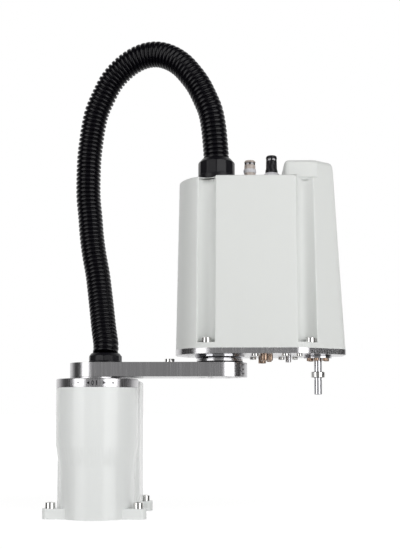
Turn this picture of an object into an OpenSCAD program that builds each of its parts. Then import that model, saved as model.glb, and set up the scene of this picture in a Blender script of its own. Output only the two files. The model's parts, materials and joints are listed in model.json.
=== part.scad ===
// Small four-axis arm robot: a base with the first axis, a flat first arm, and a
// covered second arm that carries a hollow ball screw spline shaft.
// The origin is on the first axis at the base's underside. X runs along the arms,
// Y towards the connector panel at the rear, Z up.

/* [Base] */
// Radius of the upper base casting
base_r = 41.7; // [40:0.1:44]
// Radius of the narrower foot of the casting
foot_r = 38.5; // [37.5:0.1:40]
// Height of the casting up to the scale ring
base_h = 130.7; // [126:0.1:138]
// Half width of the rear box
box_half_w = 42.5; // [42:0.1:44]
// Distance from the first axis to the rear of the box
box_back = 62; // [60:0.5:64]
// Height of the scale ring
ring_h = 9; // [7:0.5:10]
// Wall of the base casting
base_wall = 5.5; // [4.5:0.5:6]
// Bolt spacing across the base
bolt_dx = 88; // [86:0.5:92]
// Bolt spacing front to rear
bolt_dy = 85; // [83:0.5:88]
// Distance from the first axis forward to the front bolts
bolt_front = 20; // [18:0.5:24]
// Thickness of the bolt lugs
lug_t = 10.4; // [8:0.2:12]

/* [Arms] */
// Distance from the first axis to the second
arm1_len = 125; // [120:1:132]
// Distance from the second axis to the shaft
arm2_len = 100; // [98:1:104]
// End radius and half width of the first arm
arm1_r = 28; // [27:0.5:30]
// Thickness of the first arm
arm1_t = 14.5; // [12:0.5:16]
// Gap between the scale ring and the first arm
ring_gap = 1.8; // [1.2:0.1:3]
// Height of the second axis hub between the arms
hub_h = 7.5; // [7.2:0.1:9]
// Thickness of the second arm plate
plate_t = 5.5; // [5:0.5:8]
// End radius and half width of the second arm
head_r = 45; // [44:0.5:47]

/* [Cover] */
// Height of the cover's main roof above the plate
cover_h = 170; // [166:1:180]
// Height of the tower above the main roof
tower_h = 20; // [18:0.5:22]
// Half width of the tower, set back from the cover's faces
tower_half_w = 27.8; // [26:0.1:27.8]
// Wall of the moulded cover
cover_wall = 2.6; // [2:0.1:3]
// Draft of the cover's walls in degrees
draft = 1.2; // [0.5:0.1:1.4]
// Share by which the nose leans back at the roof
nose_lean = 0.144; // [0.05:0.01:0.16]
// Radius of the screwdriver flutes
flute_r = 9; // [8:0.25:10]
// Thickness of the ledge under the cover screws
ledge_t = 5.6; // [5:0.2:7]

/* [Shaft] */
// Radius of the hollow shaft
shaft_r = 4; // [3.5:0.1:4.5]
// Radius of the hole along the shaft
shaft_bore_r = 2.5; // [2:0.1:3]
// Travel of the shaft
stroke = 100; // [80:1:101]
// How far the shaft hangs under the second arm's plate
shaft_drop = 39.5; // [36:0.5:41]
// Radius of the lower stop collar
collar_r = 7.1; // [6:0.1:8]

/* [Fittings] */
// Outside radius of the corrugated duct
duct_r = 13; // [12:0.25:14]
// Radius of the duct nut on the second arm
nut_r = 18.4; // [17:0.2:20]
// Radius of the duct nut on the first arm
low_nut_r = 17; // [16:0.2:18]
// Radius of the tube bore in the white air fitting
air_small_r = 2; // [1.5:0.5:2.5]
// Radius of the tube bore in the black air fitting
air_large_r = 3; // [2.5:0.5:3.5]
// Push travel of the brake release button
button_travel = 1.5; // [1:0.1:2]

/* [Hidden] */

$fn = 72;

// Clearances: between pieces screwed together, round a running fit, and in the open
seat_gap = 0.05;
run_gap = 0.05;
free_gap = 0.3;
cut = 1;

// Heights of the stack, from the mounting face up
ring_z = base_h;
arm1_z = ring_z + ring_h + ring_gap;
arm1_top = arm1_z + arm1_t;
plate_z = arm1_top + hub_h;
plate_top = plate_z + plate_t;
roof_z = plate_top + cover_h;
tower_z = roof_z + tower_h;
shaft_low = plate_z - shaft_drop;

// The second axis and the shaft, seen from above
j2_x = arm1_len;
j4_x = arm1_len + arm2_len;

white_paint = [0.87, 0.88, 0.87];
bare_metal = [0.72, 0.72, 0.73];
bright_steel = [0.8, 0.8, 0.82];
black_plastic = [0.07, 0.07, 0.08];
motor_grey = [0.25, 0.26, 0.28];
belt_black = [0.12, 0.12, 0.12];

function arc(c, r, a0, a1, n) =
    [for (i = [0:n]) c + r * [cos(a0 + (a1 - a0) * i / n), sin(a0 + (a1 - a0) * i / n)]];

// Base

foot_z = 51;
waist_z = 74;
base_floor = 8;
flange_t = 6;
reducer_r = 36;
bore_r = 33;
bolt_r = 3;
bolt_neck_r = 2.8;
bolt_head_r = 5;
bolt_head_h = 6;
bolt_out = 9.6;
lug_r = 6;
lug_out = 8;
lug_reach = 24;
box_front = 4;
box_corner = 9;
box_edge = 5;
box_top = base_h + ring_h - 0.2;
bolt_y0 = -bolt_front;
bolt_y1 = bolt_dy - bolt_front;
bolt_points = [for (x = [-bolt_dx / 2, bolt_dx / 2], y = [bolt_y0, bolt_y1]) [x, y]];

panel_recess = 4;
panel_t = 2;
panel_ledge = 4.5;
panel_half_w = box_half_w - 6;
panel_z0 = 12;
panel_z1 = base_h - 4;
panel_y = box_back - panel_recess - panel_t;
cavity_y = panel_y - 6;
cavity_front = 12;

module rounded_box_plan(half_w, y0, y1, r) {
    translate([-half_w + r, y0]) square([2 * (half_w - r), y1 - y0]);
    translate([-half_w, y0 + r]) square([2 * half_w, y1 - y0 - 2 * r]);
    for (x = [-half_w + r, half_w - r], y = [y0 + r, y1 - r]) translate([x, y]) circle(r);
}

module rounded_top(half_w, top, r) {
    translate([-half_w, 0]) square([2 * half_w, top - r]);
    translate([-half_w + r, 0]) square([2 * (half_w - r), top]);
    for (x = [-half_w + r, half_w - r]) translate([x, top - r]) circle(r);
}

module round_plate(x0, y0, x1, y1, r, h) {
    // a plate with four round corners
    translate([x0 + r, y0, 0]) cube([x1 - x0 - 2 * r, y1 - y0, h]);
    translate([x0, y0 + r, 0]) cube([x1 - x0, y1 - y0 - 2 * r, h]);
    for (x = [x0 + r, x1 - r], y = [y0 + r, y1 - r]) {
        translate([x, y, 0]) cylinder(h = h, r = r);
    }
}

module lug(x, y) {
    // a foot that runs from the casting out past its bolt
    inward = x > 0 ? -1 : 1;
    x_out = x - inward * lug_out;
    x_in = x + inward * lug_reach;
    round_plate(min(x_out, x_in), y - lug_r, max(x_out, x_in), y + lug_out, lug_r, lug_t);
}

module base_casting() color(white_paint) {
    difference() {
        union() {
            rotate_extrude() polygon([
                [0, 0], [foot_r, 0], [foot_r, foot_z], [base_r, waist_z],
                [base_r, base_h], [0, base_h]
            ]);
            difference() {
                intersection() {
                    linear_extrude(box_top) rounded_box_plan(box_half_w, box_front, box_back, box_corner);
                    translate([0, box_back + cut, 0]) rotate([90, 0, 0]) linear_extrude(box_back + 2 * cut)
                        rounded_top(box_half_w + free_gap, box_top, box_edge);
                }
                // room for the ring and the reducer's flange
                translate([0, 0, base_h]) cylinder(h = ring_h + cut, r = base_r + free_gap);
            }
            for (p = bolt_points) lug(p[0], p[1]);
        }
        // bore for the motor, and the step that the reducer's flange rests on
        translate([0, 0, base_floor]) cylinder(h = base_h, r = bore_r);
        translate([0, 0, base_h - flange_t]) cylinder(h = flange_t + cut, r = reducer_r + seat_gap);
        // wiring space in the box
        cavity_w = 2 * (box_half_w - base_wall);
        cavity_h = base_h - flange_t - base_wall - base_floor;
        translate([-cavity_w / 2, cavity_front, base_floor])
            cube([cavity_w, cavity_y - cavity_front, cavity_h]);
        // recess for the connector panel, and the window behind it
        translate([-panel_half_w, panel_y, panel_z0])
            cube([2 * panel_half_w, box_back, panel_z1 - panel_z0]);
        translate([-(panel_half_w - panel_ledge), cavity_y - cut, panel_z0 + panel_ledge])
            cube([2 * (panel_half_w - panel_ledge), box_back, panel_z1 - panel_z0 - 2 * panel_ledge]);
        panel_screw_places() rotate([90, 0, 0]) cylinder(h = panel_ledge, r = panel_screw_r, $fn = 24);
        for (p = bolt_points) translate([p[0], p[1], -cut]) cylinder(h = lug_t + 2 * cut, r = bolt_r + free_gap);
    }
}

module base_bolts() color(bright_steel) {
    // the thread stands out under the lug, the shank inside it is thinner
    for (p = bolt_points) translate([p[0], p[1], 0]) {
        socket_screw(bolt_neck_r, lug_t + cut, bolt_head_r, bolt_head_h, lug_t);
        translate([0, 0, -bolt_out]) cylinder(h = bolt_out, r = bolt_r, $fn = 24);
    }
}

module socket_screw(r, length, head_r, head_h, seat_z) {
    // shank below seat_z, head above it with a hexagon socket
    translate([0, 0, seat_z - length]) cylinder(h = length + head_h / 3, r = r, $fn = 24);
    difference() {
        translate([0, 0, seat_z]) cylinder(h = head_h, r = head_r, $fn = 36);
        translate([0, 0, seat_z + head_h * 0.45]) cylinder(h = head_h, r = head_r * 0.5, $fn = 6);
    }
}

module j1_zero_ring() color(bare_metal) {
    ring_bore = reducer_r - 6;
    translate([0, 0, ring_z]) rotate_extrude() polygon([
        [ring_bore, 0], [base_r, 0], [base_r, ring_h - 0.6], [base_r - 0.6, ring_h], [ring_bore, ring_h]
    ]);
}

panel_screw_r = 1.5;
panel_screw_in = 3.5;
panel_screw_inset = 3;
panel_head_r = 2.6;
panel_head_h = 1.6;
module panel_screw_places() {
    for (x = [-1, 1], z = [panel_z0 + panel_screw_inset, panel_z1 - panel_screw_inset]) {
        translate([x * (panel_half_w - panel_screw_inset), panel_y, z]) children();
    }
}

// Connectors on the panel: centre across, height, width and height of the body
power_size = [26, 24];
power_at = [-(panel_half_w - 5.5 - power_size[0] / 2), 34];
signal_at = [0, 66];
signal_size = [40, 12];
user_at = [0, 92];
user_size = [30, 11];
air_port_r = 5;
air_port_h = 10;
air_pitch = 14;
air_last = panel_half_w - 8.5;
air_at = [[air_last - air_pitch, 28], [air_last, 28]];
connector_flange = 2;
connector_out = 7;
connector_in = 9;
window_gap = 0.2;
flange_wide = 3;
flange_high = 1.5;
mouth_deep = 4;
pin_root = 0.5;
pin_h = 5.5;
pin_r = 0.6;

module rear_panel() color(bare_metal) {
    difference() {
        translate([-panel_half_w + free_gap, panel_y, panel_z0 + free_gap])
            cube([2 * (panel_half_w - free_gap), panel_t, panel_z1 - panel_z0 - 2 * free_gap]);
        panel_screw_places() rotate([-90, 0, 0])
            translate([0, 0, -cut]) cylinder(h = panel_t + 2 * cut, r = panel_screw_r + 0.2, $fn = 24);
        for (c = [[power_at, power_size], [signal_at, signal_size], [user_at, user_size]]) {
            panel_window(c[0], c[1]);
        }
        for (p = air_at) translate([p[0], panel_y - cut, p[1]]) rotate([-90, 0, 0])
            cylinder(h = panel_t + 2 * cut, r = air_port_r - fitting_step + free_gap, $fn = 36);
    }
}

module panel_window(at, size) {
    translate([at[0] - size[0] / 2, panel_y - cut, at[1] - size[1] / 2])
        cube([size[0], panel_t + 2 * cut, size[1]]);
}

module rear_panel_screws() color(bright_steel) {
    panel_screw_places() rotate([-90, 0, 0]) {
        socket_screw(panel_screw_r - seat_gap, panel_t + panel_screw_in, panel_head_r, panel_head_h, panel_t);
    }
}

module panel_connector(at, size, socket_wall, pins_x, pins_z) {
    // a housing through its window, a flange on the panel, and an open mouth with pins
    flange_y = panel_y + panel_t;
    g = window_gap;
    mouth_w = size[0] - 2 * socket_wall;
    mouth_h = size[1] - 2 * socket_wall;
    mouth_x = at[0] - mouth_w / 2;
    mouth_z = at[1] - mouth_h / 2;
    difference() {
        union() {
            translate([at[0] - size[0] / 2 + g, panel_y - connector_in, at[1] - size[1] / 2 + g])
                cube([size[0] - 2 * g, connector_in + panel_t + connector_out, size[1] - 2 * g]);
            translate([at[0] - size[0] / 2 - flange_wide, flange_y, at[1] - size[1] / 2 - flange_high])
                cube([size[0] + 2 * flange_wide, connector_flange, size[1] + 2 * flange_high]);
        }
        translate([mouth_x, flange_y - mouth_deep, mouth_z])
            cube([mouth_w, mouth_deep + connector_out + cut, mouth_h]);
    }
    step_x = mouth_w / (pins_x + 1);
    step_z = mouth_h / (pins_z + 1);
    for (i = [1:pins_x], k = [1:pins_z]) {
        translate([mouth_x + i * step_x, flange_y - mouth_deep - pin_root, mouth_z + k * step_z])
            rotate([-90, 0, 0]) cylinder(h = pin_h, r = min(pin_r, step_x * 0.3), $fn = 12);
    }
}

module power_connector() color(black_plastic) {
    panel_connector(power_at, power_size, 2.5, 3, 2);
}

module signal_connector() color(bare_metal) {
    panel_connector(signal_at, signal_size, 1.8, 12, 2);
}

module base_user_connector() color(bare_metal) {
    panel_connector(user_at, user_size, 1.8, 8, 2);
}

module push_in_fitting(body_r, tube_r, neck_h, body_h) {
    // a threaded neck, a hexagon, a round body and a release ring round the tube bore
    depth = body_h * 0.75;
    difference() {
        union() {
            translate([0, 0, -neck_h]) cylinder(h = neck_h + cut, r = body_r - fitting_step, $fn = 36);
            cylinder(h = body_h * 0.28, r = body_r * 1.12, $fn = 6);
            cylinder(h = body_h * 0.86, r = body_r, $fn = 48);
            cylinder(h = body_h, r = body_r * 0.82, $fn = 48);
        }
        translate([0, 0, body_h - depth]) cylinder(h = depth + cut, r = tube_r, $fn = 36);
    }
}

module base_air_ports() color(black_plastic) {
    for (i = [0, 1]) translate([air_at[i][0], panel_y + panel_t, air_at[i][1]]) rotate([-90, 0, 0])
        push_in_fitting(air_port_r, i == 0 ? air_large_r : air_small_r, panel_t + fitting_thread, air_port_h);
}

// First axis drive: a hollow motor under a hollow reducer, both round the cable tube

hub_r = 28;
tube_r = 10;
tube_bore_r = 7;
tube_low = 36;
reducer_low = 96;
motor1_low = 46;
motor1_r = 30;
gland_x = 8;
gland_bore_r = 9;
gland_thread_r = 10;

module j1_motor() color(motor_grey) {
    difference() {
        union() {
            translate([0, 0, motor1_low]) cylinder(h = reducer_low - motor1_low, r = motor1_r);
            translate([0, 0, motor1_low - 4]) cylinder(h = 5, r = motor1_r - 6);
        }
        translate([0, 0, motor1_low - 5]) cylinder(h = reducer_low, r = tube_r + 1);
    }
}

module j1_reducer() color(bare_metal) {
    flange_z = base_h - flange_t;
    difference() {
        union() {
            translate([0, 0, flange_z]) cylinder(h = flange_t, r = reducer_r);
            translate([0, 0, reducer_low]) cylinder(h = flange_z - reducer_low, r = bore_r - free_gap);
        }
        translate([0, 0, reducer_low - cut]) cylinder(h = base_h, r = tube_r + run_gap);
    }
}

module j1_output_hub() color(bare_metal) {
    hub_z = base_h + free_gap;
    difference() {
        union() {
            translate([0, 0, hub_z]) cylinder(h = arm1_z - hub_z, r = hub_r);
            translate([0, 0, tube_low]) cylinder(h = hub_z - tube_low + cut, r = tube_r);
        }
        translate([0, 0, tube_low - cut]) cylinder(h = arm1_z, r = tube_bore_r);
        translate([gland_x / 2, 0, arm1_z - 5]) cylinder(h = 6, r = gland_x / 2 + gland_bore_r);
        hub_screw_places() translate([0, 0, arm1_z - 8]) cylinder(h = 9, r = hub_screw_r, $fn = 24);
    }
}

// First arm

hub_screw_r = 2;
hub_head_r = 3.5;
hub_head_h = 4;
hub_sunk = hub_head_h + 0.5;
hub_screw_pcr = 23;
hub_screws = 6;
module hub_screw_places() {
    for (i = [0:hub_screws - 1]) rotate([0, 0, 30 + i * 360 / hub_screws])
        translate([hub_screw_pcr, 0, 0]) children();
}

flange2_screw_pcr = 18;
flange2_screws = 6;
module flange2_screw_places() {
    for (i = [0:flange2_screws - 1]) translate([j2_x, 0, 0]) rotate([0, 0, i * 360 / flange2_screws])
        translate([flange2_screw_pcr, 0, 0]) children();
}

stop_x = 74;
stop_head_r = 5;
stop_head_h = 4.5;

module arm_1_plate() color(bare_metal) {
    difference() {
        union() {
            translate([0, 0, arm1_z]) cylinder(h = arm1_t, r = arm1_r);
            translate([j2_x, 0, arm1_z]) cylinder(h = arm1_t, r = arm1_r);
            translate([0, -arm1_r, arm1_z]) cube([arm1_len, 2 * arm1_r, arm1_t]);
        }
        // way for the cables from the gland down through the hub
        translate([gland_x, 0, arm1_z - cut]) cylinder(h = arm1_t + 2 * cut, r = gland_thread_r);
        hub_screw_places() translate([0, 0, arm1_z - cut]) {
            cylinder(h = arm1_t + 2 * cut, r = hub_screw_r + free_gap, $fn = 24);
            translate([0, 0, arm1_t - hub_sunk + cut])
                cylinder(h = hub_sunk + cut, r = hub_head_r + free_gap);
        }
        flange2_screw_places() translate([0, 0, arm1_z - cut]) {
            cylinder(h = arm1_t + 2 * cut, r = hub_screw_r + free_gap, $fn = 24);
            cylinder(h = hub_sunk + cut, r = hub_head_r + free_gap);
        }
        translate([stop_x, 0, arm1_top - 10]) cylinder(h = 10 + cut, r = 2.5 + seat_gap, $fn = 24);
    }
}

module j1_hub_screws() color(bright_steel) {
    hub_screw_places()
        socket_screw(hub_screw_r - seat_gap, 16, hub_head_r, hub_head_h, arm1_top - hub_sunk);
}

module j2_stop_post() color(bright_steel) {
    translate([stop_x, 0, 0]) socket_screw(2.5, 9, stop_head_r, stop_head_h, arm1_top);
}

module gland_body(nut, height, thread_down) {
    // thread through its seat, then a knurled nut with a chamfered top
    neck = duct_r - 2.5;
    chamfer = 3.4;
    difference() {
        union() {
            translate([0, 0, -thread_down]) cylinder(h = thread_down + cut, r = gland_thread_r - seat_gap);
            rotate_extrude() polygon([
                [0, 0], [nut, 0], [nut, height * 0.72], [nut - chamfer, height], [0, height]
            ]);
        }
        translate([0, 0, -thread_down - cut]) cylinder(h = thread_down + height, r = gland_bore_r - 1.5);
        translate([0, 0, height - 2]) cylinder(h = 3, r = neck);
        // ribs of the nut's grip
        for (i = [0:23]) rotate([0, 0, i * 15]) translate([nut, 0, height * 0.1])
            cylinder(h = height * 0.5, r = 0.5, $fn = 14);
    }
}

low_nut_h = 10;
low_thread = 10;
top_nut_h = 19.5;
top_thread = 8.6;
gland2 = [arm1_len - 3, -15];

module arm_1_duct_gland() color(black_plastic) {
    translate([gland_x, 0, arm1_top]) gland_body(low_nut_r, low_nut_h, low_thread);
}

module head_duct_gland() color(black_plastic) {
    translate([gland2[0], gland2[1], roof_z]) gland_body(nut_r, top_nut_h, top_thread);
}

// Second axis

flange2_r = 23.5;
flange2_t = 3.7;
boss2_r = 16;
reducer2_r = 30;
reducer2_h = 22;
motor2_half = 20;
motor2_h = 62;
encoder_h = 14;
motor_corner = 1.26;

module j2_output_flange() color(bare_metal) {
    difference() {
        union() {
            translate([j2_x, 0, arm1_top]) cylinder(h = flange2_t, r = flange2_r);
            translate([j2_x, 0, arm1_top]) cylinder(h = hub_h + plate_t + 4 - free_gap, r = boss2_r);
        }
        translate([j2_x, 0, arm1_top - cut]) cylinder(h = 40, r = 6);
        flange2_screw_places() translate([0, 0, arm1_top - cut])
            cylinder(h = flange2_t + 2 * cut, r = hub_screw_r, $fn = 24);
    }
}

module j2_flange_screws() color(bright_steel) {
    flange2_screw_places() translate([0, 0, arm1_z + hub_sunk - hub_head_h]) {
        difference() {
            cylinder(h = hub_head_h, r = hub_head_r, $fn = 36);
            translate([0, 0, -cut]) cylinder(h = hub_head_h * 0.55 + cut, r = hub_head_r * 0.5, $fn = 6);
        }
        translate([0, 0, hub_head_h - 0.5])
            cylinder(h = arm1_t - hub_head_h + 3, r = hub_screw_r - seat_gap, $fn = 24);
    }
}

module j2_reducer() color(bare_metal) {
    ring_low = arm1_top + flange2_t + free_gap;
    translate([j2_x, 0, 0]) difference() {
        union() {
            translate([0, 0, ring_low]) cylinder(h = plate_z - ring_low, r = flange2_r - 1.5);
            translate([0, 0, plate_z - cut]) cylinder(h = plate_t + 2 * cut, r = flange2_r - 3.5);
            translate([0, 0, plate_top]) cylinder(h = 4, r = reducer2_r);
            translate([0, 0, plate_top]) cylinder(h = reducer2_h, r = reducer2_r - 3);
        }
        translate([0, 0, ring_low - cut]) cylinder(h = plate_top + 5 - ring_low, r = boss2_r + run_gap);
    }
}

module square_motor(x, y, z, half, h, corner, cap_h) {
    // stator with cut corners, and a round encoder cap on top
    translate([x, y, z]) {
        intersection() {
            translate([-half, -half, 0]) cube([2 * half, 2 * half, h]);
            rotate([0, 0, 45]) translate([-half * corner, -half * corner, 0])
                cube([2 * half * corner, 2 * half * corner, h]);
        }
        translate([0, 0, h - cut]) cylinder(h = cap_h + cut, r = half * 0.86);
    }
}

module j2_motor() color(motor_grey) {
    square_motor(j2_x, 0, plate_top + reducer2_h, motor2_half, motor2_h, motor_corner, encoder_h);
}

// Outline of the second arm, from the round end to the nose

corner_r = head_r * 0.6;
corner_turn = 33;
corner_x = j4_x - 26;
nose_r = 8;
nose_x = j4_x + 27;
left_n = 15;
corner_n = 4;
nose_n = 3;

// Centre of the nose corner: its round end touches the slanted side
corner_c = [corner_x, -(head_r - corner_r)];
side_start = corner_c + corner_r * [sin(corner_turn), -cos(corner_turn)];
nose_cx = nose_x - nose_r;
nose_cy = side_start[1] + (nose_r + (nose_cx - side_start[0]) * sin(corner_turn)) / cos(corner_turn);
nose_c = [nose_cx, nose_cy];

function lean(p, k) = [p[0] > corner_x ? corner_x + (p[0] - corner_x) * (1 - k) : p[0], p[1]];

function nose_half(d) = concat(
    arc(corner_c, corner_r - d, 270, 270 + corner_turn, corner_n),
    arc(nose_c, max(nose_r - d, 1), 270 + corner_turn, 360, nose_n)
);

// Front half of the outline, inset by d, from the round end to the nose
function head_half(d, k) = [
    for (p = concat(arc([j2_x, 0], head_r - d, 180, 270, left_n), nose_half(d))) lean(p, k)
];

function mirror_half(h) = concat(h, [for (i = [len(h) - 1:-1:1]) [h[i][0], -h[i][1]]]);

function at_z(ring, z) = [for (p = ring) [p[0], p[1], z]];

// Closed solid through rings of equal count, flat at both ends
module loft(rings) {
    n = len(rings[0]);
    m = len(rings);
    points = [for (r = rings) each r];
    sides = [for (k = [0:m - 2], i = [0:n - 1])
        each let (a = k * n + i, b = k * n + (i + 1) % n)
            [[a, a + n, b], [b, a + n, b + n]]];
    polyhedron(points, concat(sides, [[for (i = [0:n - 1]) i]],
        [[for (i = [n - 1:-1:0]) (m - 1) * n + i]]));
}

cover_gap = 0.3;
roof_edge = 1.6;
edge_n = 2;

function inset_at(z) = (z - plate_top) * tan(draft);
function lean_at(z) = nose_lean * (z - plate_top) / cover_h;
function body_ring(z, d) = at_z(mirror_half(head_half(inset_at(z) + d, lean_at(z))), z);

// The drafted outline through the given heights, its upper edge rounded by e
module drafted_body(heights, d, e) {
    top = heights[len(heights) - 1];
    loft(concat([for (i = [0:len(heights) - 2]) body_ring(heights[i], d)],
        [for (i = [0:edge_n]) let (t = 90 * i / edge_n)
            body_ring(top - e + e * sin(t), d + e * (1 - cos(t)))]));
}

// The tower's front and rear are set back, its nose is the body's own
tower_x = j4_x - 35;
tower_corner = 4.5;
tower_edge = 4;
tower_deep = 9;
hair = 0.05;
module tower_block(d, top) {
    r = tower_corner - d;
    half = tower_half_w - d;
    low = roof_z - tower_deep;
    x0 = tower_x + d;
    long = nose_x - x0;
    high = top - low;
    intersection() {
        translate([x0, 0, low]) linear_extrude(high) {
            translate([r, -half]) square([long, 2 * half]);
            translate([0, -half + r]) square([long, 2 * (half - r)]);
            for (s = [-1, 1]) translate([r, s * (half - r)]) circle(r);
        }
        translate([x0 - cut, 0, low - cut]) rotate([90, 0, 90]) linear_extrude(long + 20)
            rounded_top(half + hair, high + cut, tower_edge);
        translate([x0 - hair, half + cut, low - cut]) rotate([90, 0, 0]) linear_extrude(2 * half + 2 * cut) {
            square([long + 20, high + cut - tower_edge]);
            translate([tower_edge, 0]) square([long + 20, high + cut]);
            translate([tower_edge, high + cut - tower_edge]) circle(tower_edge);
        }
    }
}

// Hollow curve between the roof and the tower's left side
module tower_foot() {
    r = tower_edge;
    long = 2 * (tower_half_w - tower_corner);
    difference() {
        translate([tower_x - r, -long / 2, roof_z - cut]) cube([r + cut, long, r + cut]);
        translate([tower_x - r, long / 2 + cut, roof_z + r]) rotate([90, 0, 0])
            cylinder(h = long + 2 * cut, r = r);
    }
}

module cover_form(d, low, drop) {
    // d is the inset, low the bottom, drop what both roofs are lowered by
    e = roof_edge - drop * 0.3;
    rz = roof_z - drop;
    intersection() {
        drafted_body([low, rz - e, tower_z - drop], d, tower_edge - drop / 2);
        union() {
            drafted_body([low - cut, rz], d - hair / 2, e);
            tower_block(d - cover_gap, tower_z - drop);
            if (drop == 0) tower_foot();
        }
    }
}

left_flute = [j2_x - 13, head_r - 5];
right_flute = [j4_x - 14, head_r - 6.5];
right_flute_r = flute_r + 1.5;
left_screw = [j2_x - 13, head_r - 6.5];
right_screw = [j4_x - 10.5, head_r - 10];
cover_screw_r = 2;
cover_head_r = 4.6;
cover_head_h = 4.6;

module both_sides() {
    children();
    mirror([0, 1, 0]) children();
}

module flutes(grow, low, top) {
    both_sides() {
        translate([left_flute[0], -left_flute[1], low]) cylinder(h = top - low, r = flute_r + grow);
        translate([right_flute[0], -right_flute[1], low]) cylinder(h = top - low, r = right_flute_r + grow);
    }
}

module cover_screw_places() {
    both_sides() for (p = [left_screw, right_screw]) translate([p[0], -p[1], 0]) children();
}

grommet_r = 9;
grommet_h = 8;
grommet_rim = 2;
grommet_dome = grommet_h - grommet_rim;
grommet_top = grommet_rim + grommet_dome * sin(66);
white_at = [j2_x + 31, -10];
black_at = [j2_x + 53, -10];
white_r = 5.6;
white_h = 20;
black_r = 5.8;
black_h = 18;
head_user_at = [j2_x + 20, 22];
head_user_size = [32, 13];
lamp_at = [j2_x - 16, 18];
lamp_r = 6;
button_at = [j2_x + 52, 24];
button_r = 4;
button_frame_r = 7;
fitting_hole = 0.1;
fitting_step = 1.2;
fitting_thread = 4;
lamp_step = 1.5;

module head_cover() color(white_paint) {
    difference() {
        cover_form(cover_gap, plate_top, 0);
        difference() {
            cover_form(cover_gap + cover_wall, plate_top - cut, cover_wall);
            flutes(cover_wall, plate_top - 2 * cut, roof_z);
        }
        flutes(0, plate_top + ledge_t, roof_z + 2 * cut);
        cover_screw_places() translate([0, 0, plate_top - cut])
            cylinder(h = ledge_t + 2 * cut, r = cover_screw_r + free_gap, $fn = 24);
        // openings in the roof
        roof_hole(gland2, gland_thread_r);
        roof_hole(white_at, white_r - fitting_step);
        roof_hole(black_at, black_r - fitting_step);
        roof_hole(lamp_at, lamp_r - lamp_step);
        roof_hole(button_at, button_frame_r - lamp_step);
        translate([head_user_at[0], head_user_at[1], roof_z])
            cube([head_user_size[0], head_user_size[1], 2 * hole_deep], center = true);
    }
}

hole_deep = 8;
module roof_hole(at, r) {
    translate([at[0], at[1], roof_z - hole_deep]) cylinder(h = 2 * hole_deep, r = r + fitting_hole);
}

module cover_screws() color(bright_steel) {
    seat = plate_top + ledge_t;
    cover_screw_places()
        socket_screw(cover_screw_r - seat_gap, ledge_t + 4.5, cover_head_r, cover_head_h, seat);
}

module air_fitting_white() color([0.85, 0.82, 0.76]) {
    translate([white_at[0], white_at[1], roof_z])
        push_in_fitting(white_r, air_small_r, cover_wall + fitting_thread, white_h);
}

module fitting_grommet() color([0.7, 0.7, 0.68]) {
    translate([black_at[0], black_at[1], roof_z]) difference() {
        rotate_extrude() polygon(concat([[0, 0], [grommet_r, 0]],
            [for (i = [0:6]) [grommet_r * cos(i * 11), grommet_rim + grommet_dome * sin(i * 11)]],
            [[0, grommet_top]]));
        translate([0, 0, -cut]) cylinder(h = grommet_h + 2 * cut, r = black_r - fitting_step + fitting_hole);
    }
}

module air_fitting_black() color(black_plastic) {
    translate([black_at[0], black_at[1], roof_z + grommet_top])
        push_in_fitting(black_r, air_large_r, grommet_top + cover_wall + fitting_thread, black_h);
}

head_user_up = 8;
module head_user_connector() color(bare_metal) {
    g = window_gap;
    wall = 2;
    low = cover_wall + 6;
    w = head_user_size[0];
    d = head_user_size[1];
    translate([head_user_at[0], head_user_at[1], roof_z]) {
        difference() {
            union() {
                translate([-w / 2 + g, -d / 2 + g, -low]) cube([w - 2 * g, d - 2 * g, low + head_user_up]);
                translate([-w / 2 - 4, -d / 2 - 1.5, 0]) cube([w + 8, d + 3, 1.5]);
            }
            translate([-w / 2 + wall, -d / 2 + wall, 0.5])
                cube([w - 2 * wall, d - 2 * wall, head_user_up + cut]);
        }
        for (i = [1:7], k = [1, 2])
            translate([-w / 2 + wall + i * (w - 2 * wall) / 8, -d / 2 + wall + k * (d - 2 * wall) / 3, 0])
                cylinder(h = 1.6, r = 0.5, $fn = 12);
    }
}

module status_lamp() color([0.85, 0.55, 0.15]) {
    translate([lamp_at[0], lamp_at[1], roof_z]) {
        translate([0, 0, -cover_wall - 5]) cylinder(h = cover_wall + 6, r = lamp_r - lamp_step, $fn = 36);
        rotate_extrude() polygon(concat([[0, 0], [lamp_r, 0], [lamp_r, 1.5]],
            [for (i = [0:6]) [(lamp_r - 1) * cos(i * 15), 1.5 + 4 * sin(i * 15)]]));
    }
}

button_up = 4.5;
module brake_switch_housing() color(black_plastic) {
    translate([button_at[0], button_at[1], roof_z]) difference() {
        union() {
            translate([0, 0, -cover_wall - 10]) cylinder(h = cover_wall + 11, r = button_frame_r - lamp_step);
            cylinder(h = 2, r = button_frame_r, $fn = 48);
        }
        translate([0, 0, -cover_wall - 7]) cylinder(h = cover_wall + 20, r = button_r + run_gap, $fn = 48);
    }
}

module brake_button() color([0.75, 0.12, 0.1]) {
    floor_z = -cover_wall - 7 + button_travel + 0.2;
    translate([button_at[0], button_at[1], roof_z + floor_z])
        cylinder(h = button_up - floor_z, r = button_r, $fn = 48);
}

// Threaded holes under the plate for the user's own brackets
tap_r = 2;
tap_y = [16, 24];
tap_x = [j2_x - 32, j4_x - 22];

boss_r = 22;
boss_h = 7;
bearing_r = 19;
bearing_h = 10;
bearing_z = plate_top + boss_h - bearing_h;
spline_r = 12;
screw_r = 2;

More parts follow.
